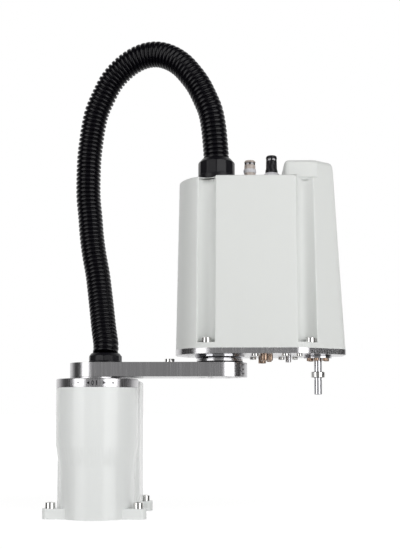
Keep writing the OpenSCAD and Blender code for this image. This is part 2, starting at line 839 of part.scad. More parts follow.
// The outline again from exact arcs: two circles' ends joined by straight sides
module plate_plan() {
    nose_c_top = [nose_c[0], -nose_c[1]];
    side_start_top = [side_start[0], -side_start[1]];
    translate([j2_x, 0]) circle(head_r);
    translate([j2_x, -head_r]) square([corner_x - j2_x, 2 * head_r]);
    both_sides_2d() {
        translate(corner_c) circle(corner_r);
        translate(nose_c) circle(nose_r);
    }
    polygon([
        [corner_x, -head_r], side_start, nose_c + nose_r * [sin(corner_turn), -cos(corner_turn)],
        nose_c, nose_c_top,
        nose_c_top + nose_r * [sin(corner_turn), cos(corner_turn)], side_start_top, [corner_x, head_r]
    ]);
    translate([nose_c[0] - cut, nose_c[1]]) square([nose_r + cut, -2 * nose_c[1]]);
}

module both_sides_2d() {
    children();
    mirror([0, 1]) children();
}

module arm_2_plate() color(bare_metal) {
    difference() {
        union() {
            translate([0, 0, plate_z]) linear_extrude(plate_t) plate_plan();
            translate([j4_x, 0, plate_z]) cylinder(h = plate_t + boss_h, r = boss_r);
        }
        translate([j2_x, 0, plate_z - cut]) cylinder(h = plate_t + 2 * cut, r = flange2_r - 3.5 + seat_gap);
        translate([j4_x, 0, plate_z - cut]) cylinder(h = 20, r = spline_r + 1);
        translate([j4_x, 0, bearing_z]) cylinder(h = bearing_h + cut, r = bearing_r + seat_gap);
        cover_screw_places() translate([0, 0, plate_z - cut])
            cylinder(h = plate_t + 2 * cut, r = cover_screw_r, $fn = 24);
        leg_places() translate([0, 0, plate_z - cut])
            cylinder(h = plate_t + 2 * cut, r = screw_r + free_gap, $fn = 24);
        for (s = [-1, 1]) translate([stop2_x, s * stop2_y, plate_z - cut])
            cylinder(h = plate_t, r = 2 + seat_gap, $fn = 24);
        translate([standoff_x, 0, plate_z - cut]) cylinder(h = plate_t, r = 1.5 + seat_gap, $fn = 24);
        for (i = [0, 1], s = [-1, 1]) translate([tap_x[i], s * tap_y[i], plate_z - cut])
            cylinder(h = plate_t + 2 * cut, r = tap_r, $fn = 24);
    }
}

// Stops under the plate: they meet the post on the first arm at the end of the turn
j2_limit = 140;
stop_reach = j2_x - stop_x;
stop2_r = 4;
stop2_drop = 6.5;
stop_meet = 2 * asin((stop_head_r + stop2_r + free_gap) / (2 * stop_reach));
stop2_angle = 180 - j2_limit - stop_meet;
stop2_x = j2_x + stop_reach * cos(stop2_angle);
stop2_y = stop_reach * sin(stop2_angle);
standoff_x = j2_x + 70;

module j2_stop_screws() color([0.6, 0.5, 0.42]) {
    for (s = [-1, 1]) translate([stop2_x, s * stop2_y, 0]) {
        translate([0, 0, plate_z]) mirror([0, 0, 1])
            socket_screw(screw_r, plate_t - cut - 0.2, stop2_r, stop2_drop, 0);
    }
}

module underside_standoff() color(bare_metal) {
    translate([standoff_x, 0, plate_z]) mirror([0, 0, 1]) {
        socket_screw(1.5, plate_t - cut - 0.2, 2.9, 6.7, 0);
    }
}

// Drive bracket: a plate on four legs over the arm plate

leg_r = 4.5;
leg_head_r = 3.5;
leg_head_h = 2.2;
bracket_up = 39;
bracket_low = plate_top + bracket_up;
bracket_t = 8;
bracket_top = bracket_low + bracket_t;
bracket_x = j2_x + 29;
bracket_long = 43;
bracket_half_w = 37;
bridge_long = 12;
bridge_half_w = 24;
motor_back = 47;
motor_x = j4_x - motor_back;
motor_y = 19;
motor_half = 17.2;
motor_h = 55;
motor_shaft_r = 3;
motor_shaft_in = 12;
leg_inset = 6;
leg_at = [[bracket_x + leg_inset, bracket_half_w - leg_inset], [j2_x + 65, 34]];
module leg_places() {
    both_sides() for (p = leg_at) translate([p[0], p[1], 0]) children();
}

module drive_bracket() color(bare_metal) {
    difference() {
        union() {
            leg_places() translate([0, 0, plate_top]) cylinder(h = bracket_low - plate_top + cut, r = leg_r);
            translate([0, 0, bracket_low]) {
                translate([bracket_x, -bracket_half_w, 0])
                    cube([bracket_long, 2 * bracket_half_w, bracket_t]);
                translate([bracket_x + bracket_long - cut, -bridge_half_w, 0])
                    cube([bridge_long, 2 * bridge_half_w, bracket_t]);
                translate([j4_x, 0, 0]) cylinder(h = bracket_t, r = boss3_r);
            }
        }
        translate([j4_x, 0, bracket_low - cut]) cylinder(h = bracket_t + 2 * cut, r = bearing2_r + seat_gap);
        for (s = [-1, 1]) translate([motor_x, s * motor_y, bracket_low - cut])
            cylinder(h = bracket_t + 2 * cut, r = 8);
        leg_places() translate([0, 0, plate_top - cut]) cylinder(h = 12, r = screw_r, $fn = 24);
    }
}

module underside_screws() color(bright_steel) {
    leg_places() translate([0, 0, plate_z]) mirror([0, 0, 1])
        socket_screw(screw_r - seat_gap, plate_t + 8, leg_head_r, leg_head_h, 0);
}

bearing2_r = 16.5;
boss3_r = 19.5;
ball_nut_r = 11;

module ring_bearing(outer, inner, h) {
    // two races with a groove between them on each face
    mid = (outer + inner) / 2;
    difference() {
        cylinder(h = h, r = outer);
        translate([0, 0, -cut]) cylinder(h = h + 2 * cut, r = inner);
        for (z = [-cut, h - 0.8]) translate([0, 0, z]) difference() {
            cylinder(h = 0.8 + cut, r = mid + 1.4);
            translate([0, 0, -cut]) cylinder(h = 3 * cut + 0.8, r = mid - 1.4);
        }
    }
}

module spline_bearing() color(bright_steel) {
    translate([j4_x, 0, bearing_z]) ring_bearing(bearing_r, spline_r + run_gap, bearing_h);
}

module ball_nut_bearing() color(bright_steel) {
    translate([j4_x, 0, bracket_low]) ring_bearing(bearing2_r, ball_nut_r + run_gap, bracket_t);
}

// Shaft and its two nuts

pulley_h = 10;
spline_flange_t = 2.6;
spline_under = 3;
spline_low = plate_z - spline_under;
spline_high = plate_top + boss_h + pulley_h + 5;
ball_low = spline_high + 3;
ball_high = bracket_top + 20;
pulley3_z = ball_low + 2;
pulley4_z = plate_top + boss_h + 2;
collar_h = 6;
lower_collar_up = 17;
upper_collar_z = ball_high + stroke + free_gap;
shaft_over = 5.7;
shaft_len = upper_collar_z + collar_h + shaft_over - shaft_low;
mark_w = 1;
mark_deep = 0.3;

module spline_nut() color(bright_steel) {
    translate([j4_x, 0, 0]) difference() {
        union() {
            translate([0, 0, spline_low]) cylinder(h = spline_high - spline_low, r = spline_r);
            translate([0, 0, spline_low]) cylinder(h = spline_flange_t, r = spline_r + 2);
        }
        translate([0, 0, spline_low - cut])
            cylinder(h = spline_high - spline_low + 2 * cut, r = shaft_r + run_gap);
        spline_screw_places() translate([0, 0, spline_low - cut])
            cylinder(h = 4 + cut, r = spline_screw_r, $fn = 24);
    }
}

spline_screw_r = 1.5;
spline_screw_pcr = 9.2;
spline_screws = 6;
module spline_screw_places() {
    for (i = [0:spline_screws - 1]) rotate([0, 0, 15 + i * 360 / spline_screws])
        translate([spline_screw_pcr, 0, 0]) children();
}

module spline_flange_screws() color(bright_steel) {
    translate([j4_x, 0, 0]) spline_screw_places() translate([0, 0, spline_low]) mirror([0, 0, 1])
        socket_screw(spline_screw_r - seat_gap, 3.5, 2.75, 2.6, 0);
}

// Pitch radius from the tooth count, at a 3 mm belt pitch
belt_pitch = 3;
teeth4 = 36;
teeth4_motor = 18;
teeth3 = 32;
teeth3_motor = 18;
function pulley_r(teeth) = teeth * belt_pitch / (2 * PI);

module toothed_pulley(teeth, bore, h) {
    // teeth between two thin flanges; one tooth is given as share of its pitch and depth
    tooth = [[-0.30, 1], [-0.16, 0], [0.16, 0], [0.30, 1]];
    r = pulley_r(teeth);
    depth = 1.1;
    flange = 1;
    difference() {
        union() {
            linear_extrude(h) polygon([for (i = [0:teeth - 1], s = tooth)
                let (a = (i + s[0]) * 360 / teeth, q = r - depth * s[1]) q * [cos(a), sin(a)]]);
            cylinder(h = flange, r = r + 1.6);
            translate([0, 0, h - flange]) cylinder(h = flange, r = r + 1.6);
        }
        translate([0, 0, -cut]) cylinder(h = h + 2 * cut, r = bore);
    }
}

module j4_pulley() color(motor_grey) {
    translate([j4_x, 0, pulley4_z]) toothed_pulley(teeth4, spline_r + seat_gap, pulley_h);
}

module j3_pulley() color(motor_grey) {
    translate([j4_x, 0, pulley3_z]) toothed_pulley(teeth3, ball_nut_r + seat_gap, pulley_h);
}

module ball_nut() color(bright_steel) {
    translate([j4_x, 0, 0]) difference() {
        union() {
            translate([0, 0, ball_low]) cylinder(h = ball_high - ball_low, r = ball_nut_r);
            translate([0, 0, bracket_top + free_gap]) cylinder(h = 5, r = ball_nut_r + 3);
        }
        translate([0, 0, ball_low - cut]) cylinder(h = ball_high - ball_low + 2 * cut, r = shaft_r + run_gap);
    }
}

module motor_pulley(y, z, teeth) {
    // pulley and the motor shaft that carries it
    translate([motor_x, y, z]) {
        toothed_pulley(teeth, motor_shaft_r - seat_gap, pulley_h);
        translate([0, 0, -2]) cylinder(h = bracket_top + motor_shaft_in - z + 2, r = motor_shaft_r, $fn = 36);
    }
}

module j3_motor_pulley() color(motor_grey) {
    motor_pulley(motor_y, pulley3_z, teeth3_motor);
}

module j4_motor_pulley() color(motor_grey) {
    motor_pulley(-motor_y, pulley4_z, teeth4_motor);
}

module bored_motor(y) {
    difference() {
        square_motor(motor_x, y, bracket_top, motor_half, motor_h, motor_corner, 0);
        translate([motor_x, y, bracket_top - cut])
            cylinder(h = motor_shaft_in + 3, r = motor_shaft_r + run_gap, $fn = 36);
    }
}

module j3_motor() color(motor_grey) {
    bored_motor(motor_y);
}

module j4_motor() color(motor_grey) {
    bored_motor(-motor_y);
    translate([motor_x, -motor_y, bracket_top + motor_h]) cylinder(h = encoder_h, r = motor_half * 0.86);
}

brake_h = 18;
module j3_brake() color([0.45, 0.45, 0.47]) {
    translate([motor_x, motor_y, bracket_top + motor_h]) {
        cylinder(h = brake_h, r = motor_half - 1);
        cylinder(h = brake_h + encoder_h, r = motor_half * 0.8);
    }
}

module belt_plan(p, r1, q, r2, grow) {
    // two circles and the straight runs that touch both
    c = q - p;
    dist = norm(c);
    a = atan2(c[1], c[0]);
    s = acos((r1 - r2) / dist);
    ra = r1 + grow;
    rb = r2 + grow;
    translate(p) circle(ra);
    translate(q) circle(rb);
    polygon([
        p + ra * [cos(a + s), sin(a + s)], p + ra * [cos(a - s), sin(a - s)],
        q + rb * [cos(a - s), sin(a - s)], q + rb * [cos(a + s), sin(a + s)]
    ]);
}

belt_t = 1.3;
belt_air = 0.15;
module belt(y, z, teeth_a, teeth_b) {
    p = [j4_x, 0];
    q = [motor_x, y];
    ra = pulley_r(teeth_a) + belt_air;
    rb = pulley_r(teeth_b) + belt_air;
    translate([0, 0, z + 1.3]) linear_extrude(pulley_h - 2.6) difference() {
        belt_plan(p, ra, q, rb, belt_t);
        belt_plan(p, ra, q, rb, 0);
    }
}

module j3_belt() color(belt_black) {
    belt(motor_y, pulley3_z, teeth3, teeth3_motor);
}

module j4_belt() color(belt_black) {
    belt(-motor_y, pulley4_z, teeth4, teeth4_motor);
}

module shaft() color(bright_steel) {
    translate([j4_x, 0, shaft_low]) difference() {
        cylinder(h = shaft_len, r = shaft_r);
        translate([0, 0, -cut]) cylinder(h = shaft_len + 2 * cut, r = shaft_bore_r);
        // ring mark that ends the tool's seat, under the stop collar
        translate([0, 0, lower_collar_up - 2 * mark_w]) difference() {
            cylinder(h = mark_w, r = shaft_r + cut);
            translate([0, 0, -cut]) cylinder(h = mark_w + 2 * cut, r = shaft_r - mark_deep);
        }
    }
}

collar_grip = 0.02;
slit_w = 1;
module split_collar(z) {
    // a clamp ring with a slit and its clamp screw hole
    translate([j4_x, 0, z]) difference() {
        cylinder(h = collar_h, r = collar_r);
        translate([0, 0, -cut]) cylinder(h = collar_h + 2 * cut, r = shaft_r + collar_grip);
        translate([0, -slit_w / 2, -cut]) cube([collar_r + cut, slit_w, collar_h + 2 * cut]);
        translate([(collar_r + shaft_r) / 2, collar_r, collar_h / 2]) rotate([90, 0, 0])
            cylinder(h = 2 * collar_r, r = 1, $fn = 24);
    }
}

module lower_stop_collar() color(bright_steel) {
    split_collar(shaft_low + lower_collar_up);
}

module upper_stop_collar() color(bright_steel) {
    split_collar(upper_collar_z);
}

// Corrugated duct between the two nuts, as a plain tube

// Way of its middle line, measured from the lower nut
duct_way = [
    [0, 0, 0], [0, 3, 10], [-3, 10, 26], [-6, 17, 46], [-9, 23, 66], [-12, 27, 86],
    [-16, 30, 106], [-19, 32, 126], [-21, 33, 148], [-23, 33, 169], [-23, 32, 190],
    [-22, 30, 210], [-20, 28, 226], [-17, 25, 243], [-13, 22, 258], [-6, 19, 273],
    [2, 16, 287], [12, 13, 298], [25, 9, 307], [39, 5, 312], [53, 1, 312], [66, -3, 307],
    [78, -7, 298], [88, -10, 286], [96, -12, 274], [103, -14, 259], [108, -15, 246],
    [111, -15, 230], [113, -15, 210], [114, -15, 192.5]
];
duct_sides = 10;
duct_last = len(duct_way) - 1;
duct_start = [gland_x, 0, arm1_top + low_nut_h];
duct_end = [gland2[0], gland2[1], roof_z + top_nut_h];
duct_route = [for (i = [0:duct_last])
    duct_start + duct_way[i] + (duct_end - duct_start - duct_way[duct_last]) * i / duct_last];

function unit(v) = v / norm(v);
function frame_step(up, d) = unit(up - (up * d) * d);
function carried(up, dirs, i) =
    i == 0 ? frame_step(up, dirs[0]) : frame_step(carried(up, dirs, i - 1), dirs[i]);

module swept_tube(route, r, sides) {
    n = len(route);
    dirs = [for (i = [0:n - 1]) i == 0 || i == n - 1 ? [0, 0, i == 0 ? 1 : -1]
        : unit(route[i + 1] - route[i - 1])];
    points = [for (i = [0:n - 1]) let (u = carried([0, 1, 0], dirs, i), w = cross(dirs[i], u))
        each [for (k = [0:sides - 1]) route[i] + r * (u * cos(k * 360 / sides) + w * sin(k * 360 / sides))]];
    faces = [for (i = [0:n - 2], k = [0:sides - 1])
        each let (a = i * sides + k, b = i * sides + (k + 1) % sides)
            [[a, a + sides, b], [b, a + sides, b + sides]]];
    polyhedron(points, concat(faces, [[for (k = [0:sides - 1]) k]],
        [[for (k = [sides - 1:-1:0]) (n - 1) * sides + k]]));
}

module cable_duct() color(black_plastic) {
    swept_tube(duct_route, duct_r, duct_sides);
}

base_casting();
base_bolts();
j1_zero_ring();
rear_panel();
rear_panel_screws();
power_connector();
signal_connector();
base_user_connector();
base_air_ports();
j1_motor();
j1_reducer();
j1_output_hub();
arm_1_plate();
j1_hub_screws();
arm_1_duct_gland();
j2_stop_post();
j2_output_flange();
j2_flange_screws();
cable_duct();
arm_2_plate();
j2_reducer();
j2_motor();
j2_stop_screws();
underside_screws();
underside_standoff();
head_cover();
cover_screws();
head_duct_gland();
air_fitting_white();
air_fitting_black();
fitting_grommet();
head_user_connector();
status_lamp();
brake_switch_housing();
drive_bracket();
j3_motor();
j3_brake();
j4_motor();
j3_belt();
j4_belt();
spline_bearing();
ball_nut_bearing();
spline_nut();
spline_flange_screws();
j4_pulley();
ball_nut();
j3_pulley();
shaft();
lower_stop_collar();
upper_stop_collar();
j3_motor_pulley();
j4_motor_pulley();
brake_button();
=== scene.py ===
import json
import math
import bmesh
import bpy
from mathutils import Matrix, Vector

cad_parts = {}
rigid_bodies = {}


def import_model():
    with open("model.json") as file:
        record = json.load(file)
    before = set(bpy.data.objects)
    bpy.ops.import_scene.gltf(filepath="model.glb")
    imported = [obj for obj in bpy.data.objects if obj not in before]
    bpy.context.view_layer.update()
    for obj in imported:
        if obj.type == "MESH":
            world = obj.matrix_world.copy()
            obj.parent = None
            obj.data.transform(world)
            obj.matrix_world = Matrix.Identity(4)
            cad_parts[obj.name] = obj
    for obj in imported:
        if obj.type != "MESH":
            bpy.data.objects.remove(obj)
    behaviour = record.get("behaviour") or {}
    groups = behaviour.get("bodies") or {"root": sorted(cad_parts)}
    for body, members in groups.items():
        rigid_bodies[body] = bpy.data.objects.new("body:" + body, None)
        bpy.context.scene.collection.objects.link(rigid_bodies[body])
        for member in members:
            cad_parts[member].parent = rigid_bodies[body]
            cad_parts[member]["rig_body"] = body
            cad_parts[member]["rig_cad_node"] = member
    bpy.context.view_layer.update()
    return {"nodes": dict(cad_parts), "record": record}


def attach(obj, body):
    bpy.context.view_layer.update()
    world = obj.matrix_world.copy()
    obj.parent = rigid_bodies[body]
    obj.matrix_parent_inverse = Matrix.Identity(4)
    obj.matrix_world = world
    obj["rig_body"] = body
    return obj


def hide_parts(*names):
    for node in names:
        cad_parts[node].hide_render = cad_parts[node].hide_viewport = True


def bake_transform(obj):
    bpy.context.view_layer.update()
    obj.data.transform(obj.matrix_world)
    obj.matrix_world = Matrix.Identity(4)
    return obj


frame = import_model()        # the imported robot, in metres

mm = 0.001
weld = 0.003 * mm        # corners of a solid that lie closer are one
nodes = frame["nodes"]

# Studio: a camera low in front of the robot, two tall softboxes, a pale floor

studio = {
    "cameraPlace": (0.1277, -0.9768, 0.1046),
    "cameraTurn": 1.34,       # degrees to the left of straight ahead
    "cameraTilt": 3.0,        # degrees up
    "lens": 62.8,
    "shiftUp": 0.162,
    "clip": (0.01, 100),
    "aim": Vector((0.11, 0.0, 0.26)),
    "softboxes": [
        {"name": "softboxLeft", "turn": -48, "distance": 1.4, "width": 0.8, "height": 1.7, "power": 10},
        {"name": "softboxRight", "turn": 42, "distance": 1.4, "width": 1.08, "height": 1.7, "power": 15.6},
    ],
    "softboxRise": 0.18,
    "backdrop": 1.0,          # how bright the room is behind the robot
    "flags": 0.07,            # at its sides
    "front": 0.3,             # and behind the camera
    "backdropFade": (0.1, 0.8),       # rearward part of the ray at which each sets in and is full
    "frontFade": (-0.55, -0.85),
    "floorColour": "#F4F4F2",
    "floorRoughness": 0.7,
    "floorHalf": 60.0,
    "floorGlow": 1.13,
    "glowShare": (0.8, 1.0),      # beside the robot, where its shadow shows, and farther off
    "glowReach": (0.25, 0.9),     # distances in metres
    "floorDrop": 0.0001,      # the bolts go down into the bench
}


def addNode(tree, kind, inputs=None, **settings):
    node = tree.nodes.new(kind)
    for name, value in settings.items():
        setattr(node, name, value)
    for name, value in (inputs or {}).items():
        if isinstance(value, bpy.types.NodeSocket):
            tree.links.new(value, node.inputs[name])
        else:
            node.inputs[name].default_value = value
    return node


def ramp(tree, value, span, results, **settings):
    # maps one span of values to another
    node = addNode(tree, "ShaderNodeMapRange", {
        "Value": value, "From Min": span[0], "From Max": span[1], "To Min": results[0], "To Max": results[1],
    }, **settings)
    return node.outputs["Result"]


def linear(hexCode):
    parts = [int(hexCode[i:i + 2], 16) / 255 for i in (1, 3, 5)]
    return [c / 12.92 if c <= 0.04045 else ((c + 0.055) / 1.055) ** 2.4 for c in parts] + [1.0]


def makeCamera():
    data = bpy.data.cameras.new("camera")
    camera = bpy.data.objects.new("camera", data)
    bpy.context.scene.collection.objects.link(camera)
    camera.location = studio["cameraPlace"]
    camera.rotation_euler = (math.radians(90 + studio["cameraTilt"]), 0, math.radians(studio["cameraTurn"]))
    data.lens = studio["lens"]
    data.shift_y = studio["shiftUp"]
    data.clip_start, data.clip_end = studio["clip"]
    bpy.context.scene.camera = camera


def makeSoftboxes():
    for box in studio["softboxes"]:
        data = bpy.data.lights.new(box["name"], "AREA")
        data.shape = "RECTANGLE"
        data.size = box["width"]
        data.size_y = box["height"]
        data.energy = box["power"]
        light = bpy.data.objects.new(box["name"], data)
        bpy.context.scene.collection.objects.link(light)
        turn = math.radians(box["turn"])
        away = Vector((math.sin(turn), -math.cos(turn), studio["softboxRise"])).normalized()
        light.location = studio["aim"] + away * box["distance"]
        light.rotation_euler = away.to_track_quat("Z", "Y").to_euler()


def makeRoom():
    world = bpy.data.worlds.new("room")
    bpy.context.scene.world = world
    world.use_nodes = True
    tree = world.node_tree
    tree.nodes.clear()
    place = addNode(tree, "ShaderNodeTexCoord")
    parts = addNode(tree, "ShaderNodeSeparateXYZ", {0: place.outputs["Generated"]})
    # white backdrop behind the robot, dark flags at its sides, a dim room behind the camera
    rearward = parts.outputs["Y"]
    fade = ramp(tree, rearward, studio["backdropFade"], (studio["flags"], studio["backdrop"]),
                interpolation_type="SMOOTHSTEP")
    front = ramp(tree, rearward, studio["frontFade"], (0.0, studio["front"] - studio["flags"]),
                 interpolation_type="SMOOTHSTEP")
    both = addNode(tree, "ShaderNodeMath", {0: fade, 1: front})
    room = addNode(tree, "ShaderNodeBackground", {"Color": (1, 1, 1, 1), "Strength": both.outputs[0]})
    white = addNode(tree, "ShaderNodeBackground", {"Color": (1, 1, 1, 1), "Strength": 1.0})
    path = addNode(tree, "ShaderNodeLightPath")
    mixed = addNode(tree, "ShaderNodeMixShader", {
        0: path.outputs["Is Camera Ray"], 1: room.outputs[0], 2: white.outputs[0],
    })
    addNode(tree, "ShaderNodeOutputWorld", {"Surface": mixed.outputs[0]})


def makeFloor():
    bpy.ops.mesh.primitive_plane_add(size=2 * studio["floorHalf"], location=(0, 0, -studio["floorDrop"]))
    floor = bpy.context.object
    floor.name = "studioFloor"
    material = bpy.data.materials.new("pale floor board")
    material.use_nodes = True
    tree = material.node_tree
    shader = tree.nodes["Principled BSDF"]
    shader.inputs["Base Color"].default_value = linear(studio["floorColour"])
    shader.inputs["Roughness"].default_value = studio["floorRoughness"]
    glow = addNode(tree, "ShaderNodeEmission", {"Color": (1, 1, 1, 1), "Strength": studio["floorGlow"]})
    path = addNode(tree, "ShaderNodeLightPath")
    # the board keeps a soft shadow near the robot and runs into the backdrop farther off
    coords = addNode(tree, "ShaderNodeTexCoord")
    away = addNode(tree, "ShaderNodeVectorMath", {0: coords.outputs["Object"]}, operation="LENGTH")
    farther = ramp(tree, away.outputs["Value"], studio["glowReach"], studio["glowShare"])
    share = addNode(tree, "ShaderNodeMath", {
        0: path.outputs["Is Camera Ray"], 1: farther,
    }, operation="MULTIPLY")
    mixed = addNode(tree, "ShaderNodeMixShader", {
        0: share.outputs[0], 1: shader.outputs[0], 2: glow.outputs[0],
    })
    output = tree.nodes["Material Output"]
    tree.links.new(mixed.outputs[0], output.inputs["Surface"])
    floor.data.materials.append(material)
    floor.visible_glossy = False      # so the softboxes' reflections reach down to the casting's foot


makeCamera()
makeSoftboxes()
makeRoom()
makeFloor()
bpy.context.scene.view_settings.view_transform = "Standard"
print("studio ready")

# Finishes

noiseSpan = (0.3, 0.7)      # most values of a noise texture lie between these


def newFinish(name):
    material = bpy.data.materials.new(name)
    material.use_nodes = True
    tree = material.node_tree
    return material, tree, tree.nodes["Principled BSDF"]


def painted(tree, shader, pattern, grain, look, deep):
    # two close colours and uneven gloss from one texture, fine relief from another
    colour = addNode(tree, "ShaderNodeMix", {
        0: pattern.outputs[0], 6: linear(look["colours"][0]), 7: linear(look["colours"][1]),
    }, data_type="RGBA")
    tree.links.new(colour.outputs[2], shader.inputs["Base Color"])
    gloss = ramp(tree, pattern.outputs[0], noiseSpan, look["roughness"])
    tree.links.new(gloss, shader.inputs["Roughness"])
    relief = addNode(tree, "ShaderNodeBump", {
        "Height": grain.outputs[0], "Strength": look["relief"], "Distance": deep,
    })
    tree.links.new(relief.outputs[0], shader.inputs["Normal"])
    shader.inputs["Metallic"].default_value = look.get("metallic", 0.0)


def grainedFinish(look):
    # soft patches and a fine surface grain, in real millimetres
    material, tree, shader = newFinish(look["name"])
    place = addNode(tree, "ShaderNodeTexCoord")
    stretch = addNode(tree, "ShaderNodeMapping", {
        "Vector": place.outputs["Object"], "Scale": look.get("stretch", (1, 1, 1)),
    })
    patches = addNode(tree, "ShaderNodeTexNoise", {
        "Vector": stretch.outputs[0], "Scale": 1 / (look["patchMm"] * mm), "Detail": 4.0,
    })
    grain = addNode(tree, "ShaderNodeTexNoise", {
        "Vector": stretch.outputs[0], "Scale": 1 / (look["grainMm"] * mm), "Detail": 3.0,
    })
    painted(tree, shader, patches, grain, look, look["grainMm"] * mm * 0.5)
    if "ior" in look:
        shader.inputs["IOR"].default_value = look["ior"]
        shader.inputs["Specular IOR Level"].default_value = look.get("specular", 0.5)
    return material


looks = {
    # baked enamel over a smooth aluminium casting: clean white with wide soft reflections
    "cast_white": {
        "name": "baked white enamel", "colours": ["#EEF0EF", "#ECEEED"], "patchMm": 40,
        "roughness": [0.2, 0.215], "grainMm": 0.9, "relief": 0.05, "ior": 1.5,
    },
    # injection moulded ABS with a satin spark finish: matt white, hardly any reflection
    "cover_white": {
        "name": "satin moulded ABS", "colours": ["#DFE1DF", "#DCDEDC"], "patchMm": 80,
        "roughness": [0.42, 0.5], "grainMm": 0.5, "relief": 0.08, "ior": 1.5,
    },
    # hard screws plated with nickel: bright, with dark stripes from the flags
    "bright_screws": {
        "name": "nickel plated screw steel", "colours": ["#D9D8D6", "#CFCECC"], "patchMm": 3,
        "roughness": [0.1, 0.18], "grainMm": 0.3, "relief": 0.04, "metallic": 1.0,
    },
    # screws passivated yellow brown: duller and warm
    "bronzed_screws": {
        "name": "brown passivated screw steel", "colours": ["#B09A88", "#9A8272"], "patchMm": 3,
        "roughness": [0.22, 0.35], "grainMm": 0.3, "relief": 0.08, "metallic": 1.0,
    },
    # hardened bearing steel, ground round: bright with fine rings
    "ground_steel": {
        "name": "ground bearing steel", "colours": ["#CFCFD2", "#C4C4C8"], "patchMm": 20,
        "roughness": [0.08, 0.14], "grainMm": 0.4, "relief": 0.03, "stretch": (0.2, 0.2, 3), "metallic": 1.0,
    },
    # moulded black nylon: near black with a soft sheen
    "black_nylon": {
        "name": "moulded black nylon", "colours": ["#0E0D12", "#121116"], "patchMm": 12,
        "roughness": [0.3, 0.4], "grainMm": 0.4, "relief": 0.1, "ior": 1.5, "specular": 0.26,
    },
    # extruded and corrugated nylon conduit: black with glossy ribs
    "duct_black": {
        "name": "corrugated nylon conduit", "colours": ["#040308", "#06050A"], "patchMm": 25,
        "roughness": [0.2, 0.27], "grainMm": 0.5, "relief": 0.08, "ior": 1.5, "specular": 0.22,
    },
    # ivory PBT fitting body: warm pale plastic
    "ivory_plastic": {
        "name": "ivory moulded PBT", "colours": ["#BDB2AA", "#B3A79F"], "patchMm": 6,
        "roughness": [0.25, 0.35], "grainMm": 0.3, "relief": 0.06, "ior": 1.55,
    },
    # pale grey moulded seals and collars: matt
    "pale_plastic": {
        "name": "pale grey moulded seal", "colours": ["#D4D3D6", "#CBCACE"], "patchMm": 6,
        "roughness": [0.45, 0.55], "grainMm": 0.3, "relief": 0.08, "ior": 1.5,
    },
    # die cast connector shell with nickel plating: warm grey and bright
    "plated_shell": {
        "name": "nickel plated die casting", "colours": ["#C9C6BE", "#BDBAB2"], "patchMm": 8,
        "roughness": [0.2, 0.3], "grainMm": 0.4, "relief": 0.06, "metallic": 1.0,
    },
    # black enamel on motor housings: dark with a slight orange peel
    "motor_enamel": {
        "name": "black motor enamel", "colours": ["#1D1E21", "#232427"], "patchMm": 15,
        "roughness": [0.3, 0.4], "grainMm": 1.2, "relief": 0.1, "ior": 1.5,
    },
    # turned and anodised pulley aluminium: grey with fine rings
    "pulley_aluminium": {
        "name": "anodised pulley aluminium", "colours": ["#A7A9AD", "#9A9CA0"], "patchMm": 10,
        "roughness": [0.3, 0.42], "grainMm": 0.3, "relief": 0.1, "stretch": (0.3, 0.3, 3), "metallic": 1.0,
    },
    # moulded chloroprene belt: black and matt
    "belt_rubber": {
        "name": "chloroprene belt rubber", "colours": ["#151515", "#1C1B1B"], "patchMm": 8,
        "roughness": [0.6, 0.75], "grainMm": 0.4, "relief": 0.2,
    },
    # amber polycarbonate lens: deep and glossy
    "amber_lens": {
        "name": "amber polycarbonate", "colours": ["#D98A1E", "#C97C14"], "patchMm": 6,
        "roughness": [0.12, 0.2], "grainMm": 0.6, "relief": 0.04, "ior": 1.58,
    },
    # red moulded push button: glossy
    "red_plastic": {
        "name": "red moulded ABS", "colours": ["#B0231C", "#A01D18"], "patchMm": 5,
        "roughness": [0.25, 0.35], "grainMm": 0.3, "relief": 0.06, "ior": 1.52,
    },
}


# milled aluminium: grey metal whose cutter marks run up and down the sides, 1.1 mm apart
milling = {
    "colours": ["#B9B8BA", "#CBCACC"], "lines": (900, 900, 12), "roughness": (0.18, 0.3),
    "relief": 0.22, "metallic": 1.0,
}


def milledFinish():
    material, tree, shader = newFinish("milled aluminium")
    place = addNode(tree, "ShaderNodeTexCoord")
    lines = addNode(tree, "ShaderNodeMapping", {"Vector": place.outputs["Object"], "Scale": milling["lines"]})
    marks = addNode(tree, "ShaderNodeTexNoise", {"Vector": lines.outputs[0], "Scale": 1.0, "Detail": 3.0})
    painted(tree, shader, marks, marks, milling, 0.1 * mm)
    return material


finishes = {slotName: grainedFinish(look) for slotName, look in looks.items()}
finishes["milled_aluminium"] = milledFinish()
slotOf = {part["node"]: part["material_slot"] for part in frame["record"]["subparts"]}
for name, obj in nodes.items():
    obj.data.materials.clear()
    obj.data.materials.append(finishes[slotOf[name]])
print("finishes ready")

# Helpers for modelling


def takeUp(obj):
    bpy.ops.object.select_all(action="DESELECT")
    obj.select_set(True)
    bpy.context.view_layer.objects.active = obj


def openEdit(obj, mode):
    takeUp(obj)
    bpy.ops.object.mode_set(mode="EDIT")
    bpy.ops.mesh.select_mode(type=mode)
    bpy.ops.mesh.select_all(action="DESELECT")


def closeEdit():
    bpy.ops.object.mode_set(mode="OBJECT")


def pickEdges(obj, wanted):
    # selects the edges of the mesh being edited for which wanted(edge) holds
    bm = bmesh.from_edit_mesh(obj.data)
    for edge in bm.edges:
        edge.select_set(bool(wanted(edge)))
    bm.select_flush_mode()
    bmesh.update_edit_mesh(obj.data)


def applied(obj, kind, **settings):
    takeUp(obj)
    change = obj.modifiers.new(kind.lower(), kind)
    for name, value in settings.items():
        setattr(change, name, value)
    bpy.ops.object.modifier_apply(modifier=change.name)
    return obj


def smoothed(obj, degrees):
    takeUp(obj)
    bpy.ops.object.shade_smooth_by_angle(angle=math.radians(degrees))


